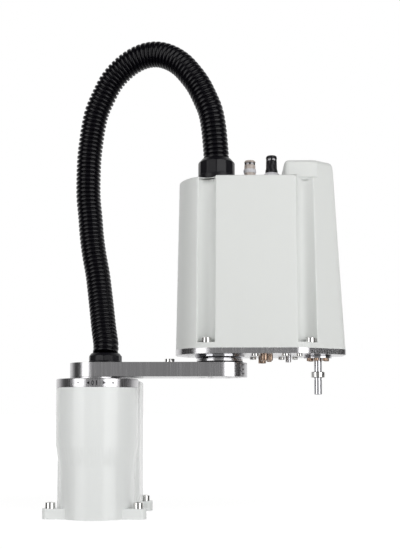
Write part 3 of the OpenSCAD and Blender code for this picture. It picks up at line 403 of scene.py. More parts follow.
def settled(obj):
    # turn and scale go into the mesh, and the object sits at the origin
    takeUp(obj)
    bpy.ops.object.transform_apply(location=True, rotation=True, scale=True)
    return obj


def joined(objects, name):
    takeUp(objects[0])
    for obj in objects:
        obj.select_set(True)
    if len(objects) > 1:
        bpy.ops.object.join()
    objects[0].name = name
    objects[0].data.name = name
    return objects[0]


def copied(obj, at, flip=False):
    other = obj.copy()
    other.data = obj.data.copy()
    bpy.context.scene.collection.objects.link(other)
    other.location = Vector(at) * mm
    other.rotation_euler = (math.radians(180 if flip else 0), 0, 0)
    return settled(other)


def ready(obj, name, slotName, body, *replaced, degrees=35):
    # name, finish, shading, body and the solids it stands for
    obj.name = name
    obj.data.name = name
    obj.data.materials.clear()
    obj.data.materials.append(finishes[slotName])
    smoothed(obj, degrees)
    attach(obj, body)
    if replaced:
        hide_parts(*replaced)


bodyOf = {name: body for body, names in frame["record"]["behaviour"]["bodies"].items() for name in names}


def pieceName(node):
    words = node.split("_")
    return words[0] + "".join(word.capitalize() for word in words[1:])


def meshObject(bm, name):
    mesh = bpy.data.meshes.new(name)
    bm.to_mesh(mesh)
    bm.free()
    obj = bpy.data.objects.new(name, mesh)
    bpy.context.scene.collection.objects.link(obj)
    return obj


def skinned(bm, low, high, closed=True):
    # faces between two rows of corners
    count = len(low)
    for i in range(count if closed else count - 1):
        j = (i + 1) % count
        bm.faces.new((low[i], low[j], high[j], high[i]))


def drawnIn(obj, count, share, wanted):
    # draws in every other column of a round body's corners, where wanted(place) holds
    openEdit(obj, "VERT")
    bm = bmesh.from_edit_mesh(obj.data)
    for vert in bm.verts:
        place = round(math.atan2(vert.co.y, vert.co.x) / (math.tau / (2 * count)))
        vert.select_set(place % 2 == 1 and wanted(vert.co))
    bm.select_flush_mode()
    bmesh.update_edit_mesh(obj.data)
    bpy.ops.transform.resize(value=(share, share, 1), center_override=(0, 0, 0))
    closeEdit()


def cylinder(r, low, high, at=(0, 0), sides=64):
    bpy.ops.mesh.primitive_cylinder_add(
        vertices=sides, radius=r * mm, depth=(high - low) * mm,
        location=(at[0] * mm, at[1] * mm, (low + high) / 2 * mm))
    return settled(bpy.context.object)


def turned(profile, at=(0, 0, 0), steps=64):
    # spins a profile of (radius, height) points once round a vertical axis
    mesh = bpy.data.meshes.new("turned")
    obj = bpy.data.objects.new("turned", mesh)
    bpy.context.scene.collection.objects.link(obj)
    edges = [(i, i + 1) for i in range(len(profile) - 1)]
    mesh.from_pydata([(r * mm, 0, z * mm) for r, z in profile], edges, [])
    openEdit(obj, "EDGE")
    bpy.ops.mesh.select_all(action="SELECT")
    bpy.ops.mesh.spin(steps=steps, angle=math.tau, center=(0, 0, 0), axis=(0, 0, 1))
    bpy.ops.mesh.select_all(action="SELECT")
    bpy.ops.mesh.remove_doubles(threshold=0.002 * mm)
    bpy.ops.mesh.normals_make_consistent(inside=False)
    closeEdit()
    obj.location = Vector(at) * mm
    return settled(obj)


def curved(a, corner, b):
    return [a * (1 - t) ** 2 + corner * 2 * t * (1 - t) + b * t * t for t in (0, 0.25, 0.5, 0.75, 1)]


def rounded(profile, radius):
    # the profile with its inner corners rounded
    out = [profile[0]]
    for a, b, c in zip(profile, profile[1:], profile[2:]):
        va, vc = Vector(a) - Vector(b), Vector(c) - Vector(b)
        r = min(radius, va.length * 0.45, vc.length * 0.45)
        start, end = Vector(b) + va.normalized() * r, Vector(b) + vc.normalized() * r
        out += [tuple(p) for p in curved(start, Vector(b), end)]
    out.append(profile[-1])
    return out


def cutAway(obj, tool, operation="DIFFERENCE"):
    applied(obj, "BOOLEAN", object=tool, operation=operation, solver="EXACT")
    bpy.data.objects.remove(tool)
    return obj


def softened(node, width, segments, up=0.0):
    # a copy of a solid's mesh with its sharp edges rounded over
    obj = nodes[node].copy()
    obj.data = nodes[node].data.copy()
    obj.parent = None
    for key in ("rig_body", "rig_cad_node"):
        if key in obj:
            del obj[key]
    bpy.context.scene.collection.objects.link(obj)
    openEdit(obj, "VERT")
    bpy.ops.mesh.customdata_custom_splitnormals_clear()
    bpy.ops.mesh.select_all(action="SELECT")
    bpy.ops.mesh.remove_doubles(threshold=weld)
    bpy.ops.mesh.dissolve_limited(angle_limit=math.radians(0.6))
    bpy.ops.mesh.normals_make_consistent(inside=False)
    if up:
        bpy.ops.transform.translate(value=(0, 0, up * mm))
    closeEdit()
    applied(obj, "BEVEL", width=width * mm, segments=segments, limit_method="ANGLE",
            angle_limit=math.radians(35), use_clamp_overlap=True, harden_normals=False)
    ready(obj, pieceName(node) + "Soft", slotOf[node], bodyOf[node], node)
    return applied(obj, "WEIGHTED_NORMAL", mode="FACE_AREA", weight=50, keep_sharp=True)


# Cover: drafted moulding with two flutes on each side, and a tower over its nose end

cover = {
    "low": 169.0, "full": 170.0, "roof": 340.4, "top": 359.2, "ledge": 174.6, "wall": 2.6, "gap": 0.3,
    "draft": 1.2, "lean": 0.144, "headR": 45.0, "axisX": 125.0,
    "cornerX": 199.0, "cornerR": 27.0, "cornerTurn": 33.0, "noseX": 252.0, "noseR": 10.0,
    "flutes": [(112.0, -40.0, 9.0), (211.0, -38.5, 10.5)],
    "levels": [174.6, 176, 200, 230, 260, 290, 315, 332],
    "roofEdge": 1.3,          # radius along the roof's rim
    "lip": 1.3,               # and along the flutes
    "towerX": 190.0, "towerHalf": 27.2, "towerCorner": 5.0, "towerFoot": 4.2,
    "towerEdge": 4.6,         # radius round the tower's top, wider at the nose
    "noseEdge": 5.6,
    "partingLine": 0.6,       # depth of the fine groove under the tower's front
    "footHeight": 0.9,        # least height of the tower's foot
    "wallsAt": (5, 8),        # heights over the roof where the tower's walls have a section
    "hollowFades": (10, 8),   # from its left wall: where the hollow ends, and over what length it fades
    "grooveFades": (4, 6, 3),     # the line's start from that wall, its growth there, its fade at the ridge
    "edgeWidens": (214, 12),      # the tower's top edge widens from this x on, over this length
    "flutePoints": 16,        # steps round a flute; its two lips take 8 more
}


def coverOutline(z):
    # half outline seen from above, from the round end along the front to the nose, as a fine polyline
    c = cover
    d = c["gap"] + (z - c["low"]) * math.tan(math.radians(c["draft"]))
    k = c["lean"] * (z - c["low"]) / c["full"]
    turn = math.radians(c["cornerTurn"])
    corner = Vector((c["cornerX"], -(c["headR"] - c["cornerR"])))
    start = corner + c["cornerR"] * Vector((math.sin(turn), -math.cos(turn)))
    noseX = c["noseX"] - c["noseR"]
    noseAt = Vector((noseX, start.y + (c["noseR"] + (noseX - start.x) * math.sin(turn)) / math.cos(turn)))
    line = []

    def arc(centre, r, first, last, count):
        for i in range(count + 1):
            a = math.radians(first + (last - first) * i / count)
            line.append(Vector((centre[0] + r * math.cos(a), centre[1] + r * math.sin(a))))

    def run(end, count):
        begin = line[-1]
        for i in range(1, count):
            line.append(begin.lerp(end, i / count))

    arc((c["axisX"], 0), c["headR"] - d, 180, 270, 180)
    run(Vector((corner.x, corner.y - (c["cornerR"] - d))), 120)
    arc(corner, c["cornerR"] - d, 270, 270 + c["cornerTurn"], 60)
    noseR = max(c["noseR"] - d, 1.0)
    run(noseAt + noseR * Vector((math.sin(turn), -math.cos(turn))), 80)
    arc(noseAt, noseR, 270 + c["cornerTurn"], 360, 40)
    run(Vector((line[-1].x, 0)), 40)
    line.append(Vector((line[-1].x, 0)))
    # the nose leans back: what lies past the corner draws in toward it
    return [Vector((c["cornerX"] + (p.x - c["cornerX"]) * (1 - k), p.y)) if p.x > c["cornerX"] else p
            for p in line]


def lengthsAlong(line):
    gone = [0.0]
    for a, b in zip(line, line[1:]):
        gone.append(gone[-1] + (b - a).length)
    return gone


def stretch(line, gone, first, last, count):
    # count + 1 points at even steps between two lengths along a polyline
    out, k = [], 0
    for i in range(count + 1):
        want = first + (last - first) * i / count
        while k < len(gone) - 2 and gone[k + 1] < want:
            k += 1
        out.append(line[k].lerp(line[k + 1], (want - gone[k]) / max(gone[k + 1] - gone[k], 1e-9)))
    return out


def crossing(line, gone, test, begin):
    # first length after begin at which test changes sign
    for i in range(len(line) - 1):
        if gone[i] < begin:
            continue
        a, b = test(line[i]), test(line[i + 1])
        if (a > 0) != (b > 0):
            return gone[i] + (gone[i + 1] - gone[i]) * a / (a - b)
    raise ValueError("the outline doesn't cross here")


def coverHalf(z, fluted):
    # half outline with the same count of points at every height, and the place of the tower's ridge in it
    line = coverOutline(z)
    gone = lengthsAlong(line)
    lip, steps = cover["lip"], cover["flutePoints"]
    points, begin = [line[0]], 0.0
    for (x, y, r), plain in zip(cover["flutes"], (34, 30)):
        centre = Vector((x, y))

        def outside(p):
            return (p - centre).length - r

        entry = crossing(line, gone, outside, begin)
        leave = crossing(line, gone, outside, entry + 2)
        points += stretch(line, gone, begin, entry - lip, plain)[1:-1]
        if fluted:
            enterAt, leaveAt = [stretch(line, gone, s, s + 1, 1)[0] for s in (entry, leave)]
            first = math.atan2(enterAt.y - y, enterAt.x - x) % math.tau - lip / r
            last = math.atan2(leaveAt.y - y, leaveAt.x - x) % math.tau + lip / r
            if last > first:
                last -= math.tau
            bite = [centre + r * Vector((math.cos(a), math.sin(a))) for a in
                    [first + (last - first) * i / steps for i in range(steps + 1)]]
            points += curved(stretch(line, gone, entry - lip, entry, 1)[0], enterAt, bite[0])
            points += bite[1:-1]
            points += curved(bite[-1], leaveAt, stretch(line, gone, leave + lip, leave + lip + 1, 1)[0])
        else:
            points += stretch(line, gone, entry - lip, leave + lip, steps + 8)
        begin = leave + lip

    def beforeRidge(p):
        return -cover["towerHalf"] - p.y if p.x > cover["cornerX"] else 1.0

    ridge = crossing(line, gone, beforeRidge, begin)
    points += stretch(line, gone, begin, ridge, 8)[1:]
    ridgeAt = len(points) - 1
    points += stretch(line, gone, ridge, gone[-1], 24)[1:]
    return points, ridgeAt


def coverRing(z, fluted=True):
    half, ridgeAt = coverHalf(z, fluted)
    ring = half + [Vector((p.x, -p.y)) for p in reversed(half[1:-1])]
    return ring, ridgeAt, len(ring) - ridgeAt


def towerPath(ridgeX):
    # the tower's own walls from the front ridge round the left side to the rear one
    r, half, left = cover["towerCorner"], cover["towerHalf"], cover["towerX"]
    front = [Vector((ridgeX + (left + r - ridgeX) * i / 16, -half)) for i in range(16)]
    arc = [Vector((left + r - r * math.sin(a), -half + r - r * math.cos(a))) for a in
           [math.radians(90 * i / 8) for i in range(9)]]
    side = [Vector((left, (-half + r) * (1 - i / 8))) for i in range(1, 9)]
    path = front + arc + side
    return path + [Vector((p.x, -p.y)) for p in reversed(path[:-1])]


def rightward(points, closed=True):
    # unit vectors to the right of the way the polyline runs
    out = []
    count = len(points)
    for i in range(count):
        a = points[i - 1] if closed or i else points[i]
        b = points[(i + 1) % count] if closed or i < count - 1 else points[i]
        ahead = (b - a).normalized()
        out.append(Vector((ahead.y, -ahead.x)))
    return out


def softly(vectors, reach=2):
    # each unit vector averaged with its neighbours round a closed line
    count = len(vectors)
    return [sum((vectors[(i + k) % count] for k in range(-reach, reach + 1)), Vector((0, 0))).normalized()
            for i in range(count)]


def eased01(share):
    share = min(1.0, max(0.0, share))
    return share * share * (3 - 2 * share)


def makeCover():
    # skinned from its sections: the draft, the leaning nose and the flutes change at every height
    c = cover
    bm = bmesh.new()

    def row(points, heights):
        return [bm.verts.new((p.x * mm, p.y * mm, h * mm)) for p, h in zip(points, heights)]

    rows = []
    for z, fluted in [(c["low"], False), (c["ledge"], False)] + [(z, True) for z in c["levels"]]:
        ring, ridgeF, ridgeR = coverRing(z, fluted)
        rows.append(row(ring, [z] * len(ring)))
    size = len(ring)
    rim = coverRing(c["roof"] - c["roofEdge"])[0]
    atRoof = coverRing(c["roof"])[0]
    ridges = [atRoof[ridgeF], atRoof[ridgeR]]
    nose = range(ridgeF, ridgeR + 1)
    rest = list(range(ridgeR, size)) + list(range(0, ridgeF + 1))
    # the rim's radius shrinks toward the two ridges and beside the tower
    reach = []
    for i in range(size):
        near = min((atRoof[i] - p).length for p in ridges)
        room = abs(rim[i].y) - c["towerHalf"] if rim[i].x > c["towerX"] - 2 else 9.0
        reach.append(0.0 if i in nose else max(0.02, min(c["roofEdge"], near * 0.4, room * 0.7)))
    points = [atRoof[i] if i in nose else rim[i] for i in range(size)]
    rows.append(row(points, [c["roof"] - e for e in reach]))
    for low, high in zip(rows, rows[1:]):
        skinned(bm, low, high)
    # round the roof's rim over, away from the nose
    aside = rightward(points)
    edge = [rows[-1][i] for i in rest]
    for s in range(1, 6):
        a = math.radians(18 * s)
        inner = [points[i] - aside[i] * reach[i] * (1 - math.cos(a)) for i in rest]
        new = row(inner, [c["roof"] - reach[i] * (1 - math.sin(a)) for i in rest])
        skinned(bm, edge, new, closed=False)
        edge = new
    # the tower's foot: a hollow curve on its left side, a fine parting line along its front and rear
    path = towerPath(ridges[0].x)
    into = rightward(path, closed=False)
    end, over = c["hollowFades"]
    hollow = [c["towerFoot"] * eased01((c["towerX"] + end - p.x) / over) for p in path]
    begin, over, short = c["grooveFades"]
    groove = []
    for p in path:
        grown = c["partingLine"] * eased01((p.x - c["towerX"] - begin) / over)
        groove.append(grown * eased01((ridges[0].x - p.x) / short))
    hollow[0] = hollow[-1] = 0.0
    foot = None
    for s in range(9):
        a = math.radians(90 * s / 8)
        around = [p + n * (g * math.sin(2 * a) - h * (1 - math.sin(a)))
                  for p, n, h, g in zip(path, into, hollow, groove)]
        levels = [c["roof"] + max(h * (1 - math.cos(a)), c["footHeight"] * s / 8) for h in hollow]
        if s == 0:
            levels = [c["roof"]] * len(path)
        new = row(around, levels)
        if foot is None:
            bm.faces.new(edge + new[1:-1])
        else:
            skinned(bm, foot, new, closed=False)
        foot = new
    below = [rows[-1][i] for i in nose] + list(reversed(foot))[1:-1]
    # its walls, and the nose carried on up
    wallLevels = [c["roof"] + up for up in c["wallsAt"]]
    walls = []
    for z in (*wallLevels, c["top"]):
        ring = coverRing(z)[0]
        walls.append([ring[i] for i in nose] + list(reversed(towerPath(ring[ridgeF].x)))[1:-1])
    top = walls[-1]
    aside = softly(rightward(top))
    begin, over = c["edgeWidens"]
    wider = c["noseEdge"] - c["towerEdge"]
    radius = [c["towerEdge"] + wider * eased01((p.x - begin) / over) for p in top]
    for wall, level in zip(walls, wallLevels):
        new = row(wall, [level] * len(wall))
        skinned(bm, below, new)
        below = new
    for s in range(9):
        a = math.radians(90 * s / 8)
        inner = [p - n * r * (1 - math.cos(a)) for p, n, r in zip(top, aside, radius)]
        new = row(inner, [c["top"] - r * (1 - math.sin(a)) for r in radius])
        skinned(bm, below, new)
        below = new
    bm.faces.new(below)
    obj = meshObject(bm, "headCoverShell")
    openEdit(obj, "VERT")
    bpy.ops.mesh.select_all(action="SELECT")
    bpy.ops.mesh.remove_doubles(threshold=0.01 * mm)
    bpy.ops.mesh.normals_make_consistent(inside=False)
    closeEdit()
    applied(obj, "SOLIDIFY", thickness=c["wall"] * mm, offset=-1, use_even_offset=False)
    ready(obj, "headCoverShell", "cover_white", "arm_2", "head_cover", degrees=28)


makeCover()
print("cover ready")

# Castings, plates, connectors and small parts: the solids with their edges eased

eased = [
    ("base_casting", 1.0, 4), ("j1_zero_ring", 0.35, 2), ("arm_1_plate", 0.8, 3), ("arm_2_plate", 0.4, 3),
    ("j1_output_hub", 0.4, 2), ("j2_output_flange", 0.4, 2), ("j2_reducer", 0.3, 2),
    ("rear_panel", 0.25, 2), ("power_connector", 0.4, 3), ("signal_connector", 0.3, 2),
    ("base_user_connector", 0.3, 2), ("base_air_ports", 0.3, 2),
    ("spline_nut", 0.3, 2), ("underside_standoff", 0.25, 2),
]
for node, width, segments in eased:
    softened(node, width, segments)
# the roof of the moulding lies a little above the solid's, and what stands on it too
solidRoof = 339
onRoof = [
    ("head_user_connector", 0.3, 2), ("status_lamp", 0.3, 2),
    ("brake_switch_housing", 0.3, 2), ("brake_button", 0.5, 3),
]
for node, width, segments in onRoof:
    softened(node, width, segments, up=cover["roof"] - solidRoof)
print("eased solids ready")

# Socket screws: one head with its knurl and socket, copied to each place

screws = {
    "knurls": 28,
    "knurl": 0.985,           # share of the radius between two ridges
    "sets": {
        # solid: head radius, head height, shank radius, finish
        "base_bolts": (5.0, 6.0, 2.9, "bright_screws"),
        "cover_screws": (4.8, 4.8, 1.9, "bright_screws"),
        "j1_hub_screws": (3.5, 4.0, 1.9, "bright_screws"),
        "j2_stop_post": (5.0, 4.5, 2.4, "bright_screws"),
        "j2_stop_screws": (4.0, 6.5, 1.9, "bronzed_screws"),
        "underside_screws": (3.5, 2.2, 1.9, "bright_screws"),
        "spline_flange_screws": (2.7, 2.6, 1.4, "bronzed_screws"),
    },
    "facingDown": ["j2_stop_screws", "underside_screws", "spline_flange_screws"],
}


def islands(node):
    # lowest and highest corner of each separate body in a solid, in millimetres
    bm = bmesh.new()
    bm.from_mesh(nodes[node].data)
    bmesh.ops.remove_doubles(bm, verts=bm.verts, dist=weld)
    left, boxes = set(bm.verts), []
    while left:
        front, group = [left.pop()], []
        while front:
            vert = front.pop()
            group.append(vert.co / mm)
            for edge in vert.link_edges:
                other = edge.other_vert(vert)
                if other in left:
                    left.discard(other)
                    front.append(other)
        boxes.append([[pick(p[i] for p in group) for i in range(3)] for pick in (min, max)])
    bm.free()
    return sorted(boxes)


def screwHead(r, h):
    # upright on the origin, socket at the top
    head = cylinder(r, 0, h, sides=2 * screws["knurls"])
    drawnIn(head, screws["knurls"], screws["knurl"], lambda place: True)
    openEdit(head, "EDGE")
    pickEdges(head, lambda e: min(v.co.z for v in e.verts) > (h - 0.01) * mm)
    bpy.ops.mesh.bevel(offset=min(0.5, h * 0.12) * mm, segments=2, affect="EDGES")
    closeEdit()
    return cutAway(head, cylinder(r * 0.54, h * 0.42, h + 1, sides=6))


for node, (r, h, shankR, slotName) in screws["sets"].items():
    head = screwHead(r, h)
    down = node in screws["facingDown"]
    pieces = []
    for low, high in islands(node):
        x, y = (low[0] + high[0]) / 2, (low[1] + high[1]) / 2
        seat = low[2] + h if down else high[2] - h
        pieces.append(copied(head, (x, y, seat), flip=down))
        ends = (seat - 0.5, high[2]) if down else (low[2], seat + 0.5)
        pieces.append(cylinder(shankR, *ends, (x, y), 24))
    bpy.data.objects.remove(head)
    ready(joined(pieces, pieceName(node)), pieceName(node), slotName, bodyOf[node], node, degrees=30)

# small screws under the plate: a brown pair between the second axis and the standoff,
# and a bright pair farther out
plateLow, armTop = 163.5, 156.0
plateScrews = {
    # places, head radius, head height, finish
    "plateScrewsBrown": ([(176, -12), (176, 12)], 2.6, 5.6, "bronzed_screws"),
    "plateScrewsBright": ([(204, -30), (204, 30)], 2.9, 2.4, "bright_screws"),
}
for name, (places, r, h, slotName) in plateScrews.items():
    head = screwHead(r, h)
    group = joined([copied(head, (x, y, plateLow), flip=True) for x, y in places], name)
    bpy.data.objects.remove(head)
    ready(group, name, slotName, "arm_2", degrees=30)
print("screws ready")

# Second axis: a bevelled cap under the plate round the reducer, and a black lip seal on the arm

axis = {"at": (125, 0, 0), "capR": 25.4, "capHigh": 3.1, "reducerR": 22.1, "flangeR": 23.4}
r, inner, low = axis["capR"], axis["reducerR"], plateLow - axis["capHigh"]
cap = turned([
    (inner, plateLow), (r, plateLow), (r, low + 1.7), (r - 0.4, low + 1.2), (r - 1.6, low), (inner, low),
    (inner, plateLow),
], at=axis["at"])
ready(cap, "axisCap", slotOf["j2_reducer"], "arm_2", degrees=20)
r, low = axis["flangeR"], armTop
lip = turned([
    (r - 0.4, low + 0.1), (r + 0.5, low + 0.1), (r + 0.5, low + 1.1), (r + 0.2, low + 1.6),
    (r - 0.4, low + 1.6), (r - 0.4, low + 0.1),
], at=axis["at"])
ready(lip, "axisLipSeal", "black_nylon", "arm_1", degrees=20)
print("second axis ready")

# Glands: a nut with twelve flats and a chamfered top, a plain collar below

onCover = 340.2      # a hair under the cover's roof
glands = {
    "armOneGland": {
        "node": "arm_1_duct_gland", "at": (8, 0), "low": armTop, "high": 166.2, "r": 17.0, "chamfer": 3.2,
        "collar": 2.0,
    },
    "headGland": {
        "node": "head_duct_gland", "at": (122, -15), "low": onCover, "high": 362.6, "r": 18.7, "chamfer": 4.6,
        "collar": 5.0,
    },
}
nutShape = {"flats": 12, "flatIn": 0.7, "rimR": 14.3, "mouthR": 13.5, "mouthDeep": 1.5}
for name, g in glands.items():
    low, high, r, mouthR = g["low"], g["high"], g["r"], nutShape["mouthR"]
    bottom, collar = high - nutShape["mouthDeep"], low + g["collar"]
    nut = turned(rounded([
        (0, low), (r - 0.2, low), (r - 0.2, high - g["chamfer"]), (nutShape["rimR"], high), (mouthR, high),
        (mouthR, bottom), (0, bottom),
    ], 0.5), steps=96)
    flats = (r - nutShape["flatIn"]) / math.cos(math.pi / nutShape["flats"])
    nut = cutAway(nut, cylinder(flats, low - 1, high + 1, sides=nutShape["flats"]), "INTERSECT")
    base = turned(rounded([
        (0, low), (r, low), (r, collar), (r - 1.2, collar + 0.8), (0, collar + 0.8),
    ], 0.4), steps=96)
    gland = joined([nut, base], "gland")
    gland.location = Vector((*g["at"], 0)) * mm
    ready(settled(gland), name, "black_nylon", bodyOf[g["node"]], g["node"], degrees=9)

# Air fittings: ribbed body, release ring held on four posts with gaps to see through

fittings = {
    "white": {
        "node": "air_fitting_white", "at": (156, -10), "foot": onCover, "footR": 5.65, "r": 5.65,
        "bodyTop": 357.6, "ringLow": 360.1, "top": 362.0, "slot": "ivory_plastic",
        "ribs": 36, "rib": 0.985,
    },
    "black": {
        "node": "air_fitting_black", "at": (178, -10), "foot": 347.0, "footR": 6.3, "r": 5.5,
        "bodyTop": 361.8, "ringLow": 364.1, "top": 366.8, "slot": "black_nylon",
        "ribs": 16, "rib": 0.95,      # share of the radius between two ribs
    },
    "postAt": 4.5,
    "postR": 0.85,
    "sleeve": (3.0, 3.9),     # inner and outer radius
}
for name in ("white", "black"):
    f = fittings[name]
    body = turned([
        (0, f["foot"]), (f["footR"], f["foot"]), (f["footR"], f["foot"] + 4.5), (f["r"] + 0.1, f["foot"] + 7),
        (f["r"], f["bodyTop"] - 1.2), (f["r"], f["bodyTop"] - 0.5), (f["r"] - 0.5, f["bodyTop"]),
        (3.2, f["bodyTop"]), (3.2, f["bodyTop"] - 4), (0, f["bodyTop"] - 4),
    ], steps=2 * f["ribs"])
    ribLow, ribHigh = f["foot"] + 1, f["bodyTop"] - 0.8
    drawnIn(body, f["ribs"], f["rib"], lambda p: ribLow * mm < p.z < ribHigh * mm and p.xy.length > 3 * mm)
    ring = turned([
        (3.1, f["ringLow"]), (f["r"], f["ringLow"]), (f["r"] + 0.15, f["ringLow"] + 0.4),
        (f["r"] - 0.1, f["top"] - 0.7), (f["r"] - 0.7, f["top"]), (3.4, f["top"]), (3.1, f["top"] - 0.4),
        (3.1, f["ringLow"]),
    ])
    fitting = joined([body, ring], "fitting")
    fitting.location = Vector((*f["at"], 0)) * mm
    ready(settled(fitting), name + "Fitting", f["slot"], "arm_2", f["node"], degrees=30)
    posts = []
    for turn in range(4):
        a = turn * math.pi / 2
        x = round(f["at"][0] + fittings["postAt"] * math.cos(a), 3)
        y = round(f["at"][1] + fittings["postAt"] * math.sin(a), 3)
        posts.append(cylinder(fittings["postR"], f["bodyTop"] - 0.3, f["ringLow"] + 0.3, (x, y), 16))
    ready(joined(posts, name + "FittingPosts"), name + "FittingPosts", "black_nylon", "arm_2")
    inner, outer = fittings["sleeve"]
    low, high = f["bodyTop"] - 2, f["ringLow"] + 0.5
    sleeve = turned([
        (inner, low), (outer, low), (outer, high), (inner, high), (inner, low),
    ], at=(*f["at"], 0))
    ready(sleeve, name + "FittingSleeve", "pale_plastic", "arm_2")

# pale collar round the ivory fitting, undercut below
collar = turned([
    (0, 349.3), (5.9, 349.3), (6.4, 350.0), (6.5, 352.4), (6.0, 353.2), (0, 353.2),
], at=(*fittings["white"]["at"], 0))
ready(collar, "whiteFittingCollar", "pale_plastic", "arm_2")

grommet = turned(rounded([
    (0, onCover), (10.6, onCover), (10.4, 343.5), (8.6, 347.2), (6.4, 349.2), (5.4, 349.4), (0, 349.4),
], 1.2), at=(*fittings["black"]["at"], 0))
ready(grommet, "fittingGrommet", "pale_plastic", "arm_2", "fitting_grommet")
print("glands and fittings ready")

# Tool shaft: ground, hollow, with a ball screw track and three straight spline tracks above the plain end

shaft = {
    "at": (225, 0), "r": 4.0, "bore": 2.5, "low": 124.0, "high": 348.0,
    "tracksFrom": 161.0, "tracksTo": 335.0,
    "lead": 8.0, "trackWide": 1.5, "trackDeep": 0.32, "splines": 3, "step": 0.5, "sides": 72,
    "endsIn": {124.0: 0.3, 348.0: 0.5},       # how far each end's edge is drawn in
    "mark": (139.0, 140.0, 0.3),      # ring groove: from, to, depth
    "flat": (129.8, 134.6, -35, 0.5),   # small flat for a grub screw: from, to, direction, depth
}


def trackDepth(z, angle):
    # how deep the tracks are at this height and direction
    s = shaft
    fade = eased01((z - s["tracksFrom"]) / 2) * eased01((s["tracksTo"] - z) / 2)
    if fade <= 0:
        return 0.0
    depth = 0.0
    off = (angle / math.tau * s["lead"] - z) % s["lead"]
    off = min(off, s["lead"] - off)
    if off < s["trackWide"] / 2:
        depth = s["trackDeep"] * math.sqrt(1 - (2 * off / s["trackWide"]) ** 2)
    part = math.tau / s["splines"]
    aside = (angle + part / 2) % part - part / 2
    if abs(aside) * s["r"] < s["trackWide"] / 2:
        depth = max(depth, s["trackDeep"] * math.sqrt(1 - (2 * aside * s["r"] / s["trackWide"]) ** 2))
    return depth * fade


def shaftRadius(z, angle):
    s = shaft
    r = s["r"] - trackDepth(z, angle) - s["endsIn"].get(z, 0)
    markFrom, markTo, markDeep = s["mark"]
    if markFrom <= z <= markTo:
        r -= markDeep
    flatFrom, flatTo, flatWay, flatDeep = s["flat"]
    reach = math.cos(angle - math.radians(flatWay))
    if flatFrom <= z <= flatTo and reach > 0:
        r = min(r, (s["r"] - flatDeep) / reach)
    return r


def makeShaft():
    # skinned ring by ring, as the crossing tracks can't be turned
    s = shaft
    levels = [s["low"], s["low"] + 0.3, s["low"] + 0.35]
    for first, last in (s["flat"][:2], s["mark"][:2]):
        levels += [first - 0.05, first, last, last + 0.05]
    levels.append(s["tracksFrom"] - 0.5)
    level = s["tracksFrom"]
    while level < s["tracksTo"]:
        levels.append(level)
        level += s["step"]
    levels += [s["tracksTo"], s["high"] - 0.5, s["high"]]
    bm = bmesh.new()
    rows = []
    # up the outside, down the bore and back to the first ring
    for i, z in enumerate(levels + [s["high"], s["low"]]):
        ring = []
        for k in range(s["sides"]):
            a = math.tau * k / s["sides"]
            r = shaftRadius(z, a) if i < len(levels) else s["bore"]
            x, y = s["at"][0] + r * math.cos(a), s["at"][1] + r * math.sin(a)
            ring.append(bm.verts.new((x * mm, y * mm, z * mm)))
        rows.append(ring)
    rows.append(rows[0])
    for low, high in zip(rows, rows[1:]):
        skinned(bm, low, high)
    obj = meshObject(bm, "toolShaft")
    openEdit(obj, "VERT")
    bpy.ops.mesh.select_all(action="SELECT")
    bpy.ops.mesh.normals_make_consistent(inside=False)
    closeEdit()
    ready(obj, "toolShaft", "ground_steel", bodyOf["shaft"], "shaft", degrees=30)


makeShaft()

# stop collars: chamfered rings with a hexagon screw in a radial hole
collars = {
    "places": [
        # piece, solid, foot, top
        ("lowerCollar", "lower_stop_collar", 141.0, 147.0),
        ("upperCollar", "upper_stop_collar", 336.3, 342.3),
    ],
    "r": 7.1, "bore": 4.05, "chamfer": 0.6, "screwTurn": 40,
    "hole": (1.6, 5.8, 9),        # radius, from, to
    "screw": (1.45, 5.4, 6.4),    # the same
}


def radial(size, sides, height):
    # a cylinder laid on its side, pointing out from the axis at the collar's screw
    obj = cylinder(*size, sides=sides)
    obj.rotation_euler = (math.radians(90), 0, math.radians(collars["screwTurn"]))
    obj = settled(obj)
    obj.location = (0, 0, height * mm)
    return settled(obj)


for name, node, low, high in collars["places"]:
    r, bore, edge = collars["r"], collars["bore"], collars["chamfer"]
    collar = turned([
        (bore, low), (r - edge, low), (r, low + edge), (r, high - edge), (r - edge, high), (bore, high),
        (bore, low),
    ])
    cutAway(collar, radial(collars["hole"], 24, (low + high) / 2))
    collar = joined([collar, radial(collars["screw"], 6, (low + high) / 2)], "collar")
    collar.location = Vector((*shaft["at"], 0)) * mm
    ready(settled(collar), name, "bright_screws", bodyOf[node], node, degrees=30)
print("shaft ready")

# Zero marks: thin black signs, half sunk into the ring's face and the first arm's end

marks = {
    "deep": 0.2,
    "ring": {"middle": (0, 0), "r": 41.7, "z": 134.9, "body": "base"},
    "arm": {"middle": (125, 0), "r": 28.03, "z": 149.0, "body": "arm_1"},
}


def markBox(width, height, up=0.0, lean=0):
    # a bar on the plane y = 0, in millimetres
    deep = marks["deep"]
    bpy.ops.mesh.primitive_cube_add(
        size=1, scale=(width * mm, deep * mm, height * mm), location=(0, 0, up * mm),
        rotation=(0, math.radians(lean), 0))
    return settled(bpy.context.object)


def markArrow(width, height, left):
    bpy.ops.mesh.primitive_cylinder_add(
        vertices=3, radius=0.5, depth=1, scale=(width * mm, height * mm, marks["deep"] * mm),
        rotation=(math.radians(90), math.radians(-90 if left else 90), 0))
    return settled(bpy.context.object)


def markRing(width, height):
    bpy.ops.mesh.primitive_torus_add(major_radius=1, minor_radius=0.28, major_segments=32, minor_segments=8,
                                     rotation=(math.radians(90), 0, 0))
    ring = bpy.context.object
    ring.dimensions = (width * mm, height * mm, marks["deep"] * mm)
    return settled(ring)


def markDot(r):
    bpy.ops.mesh.primitive_cylinder_add(vertices=20, radius=r * mm, depth=marks["deep"] * mm,
                                        rotation=(math.radians(90), 0, 0))
    return settled(bpy.context.object)


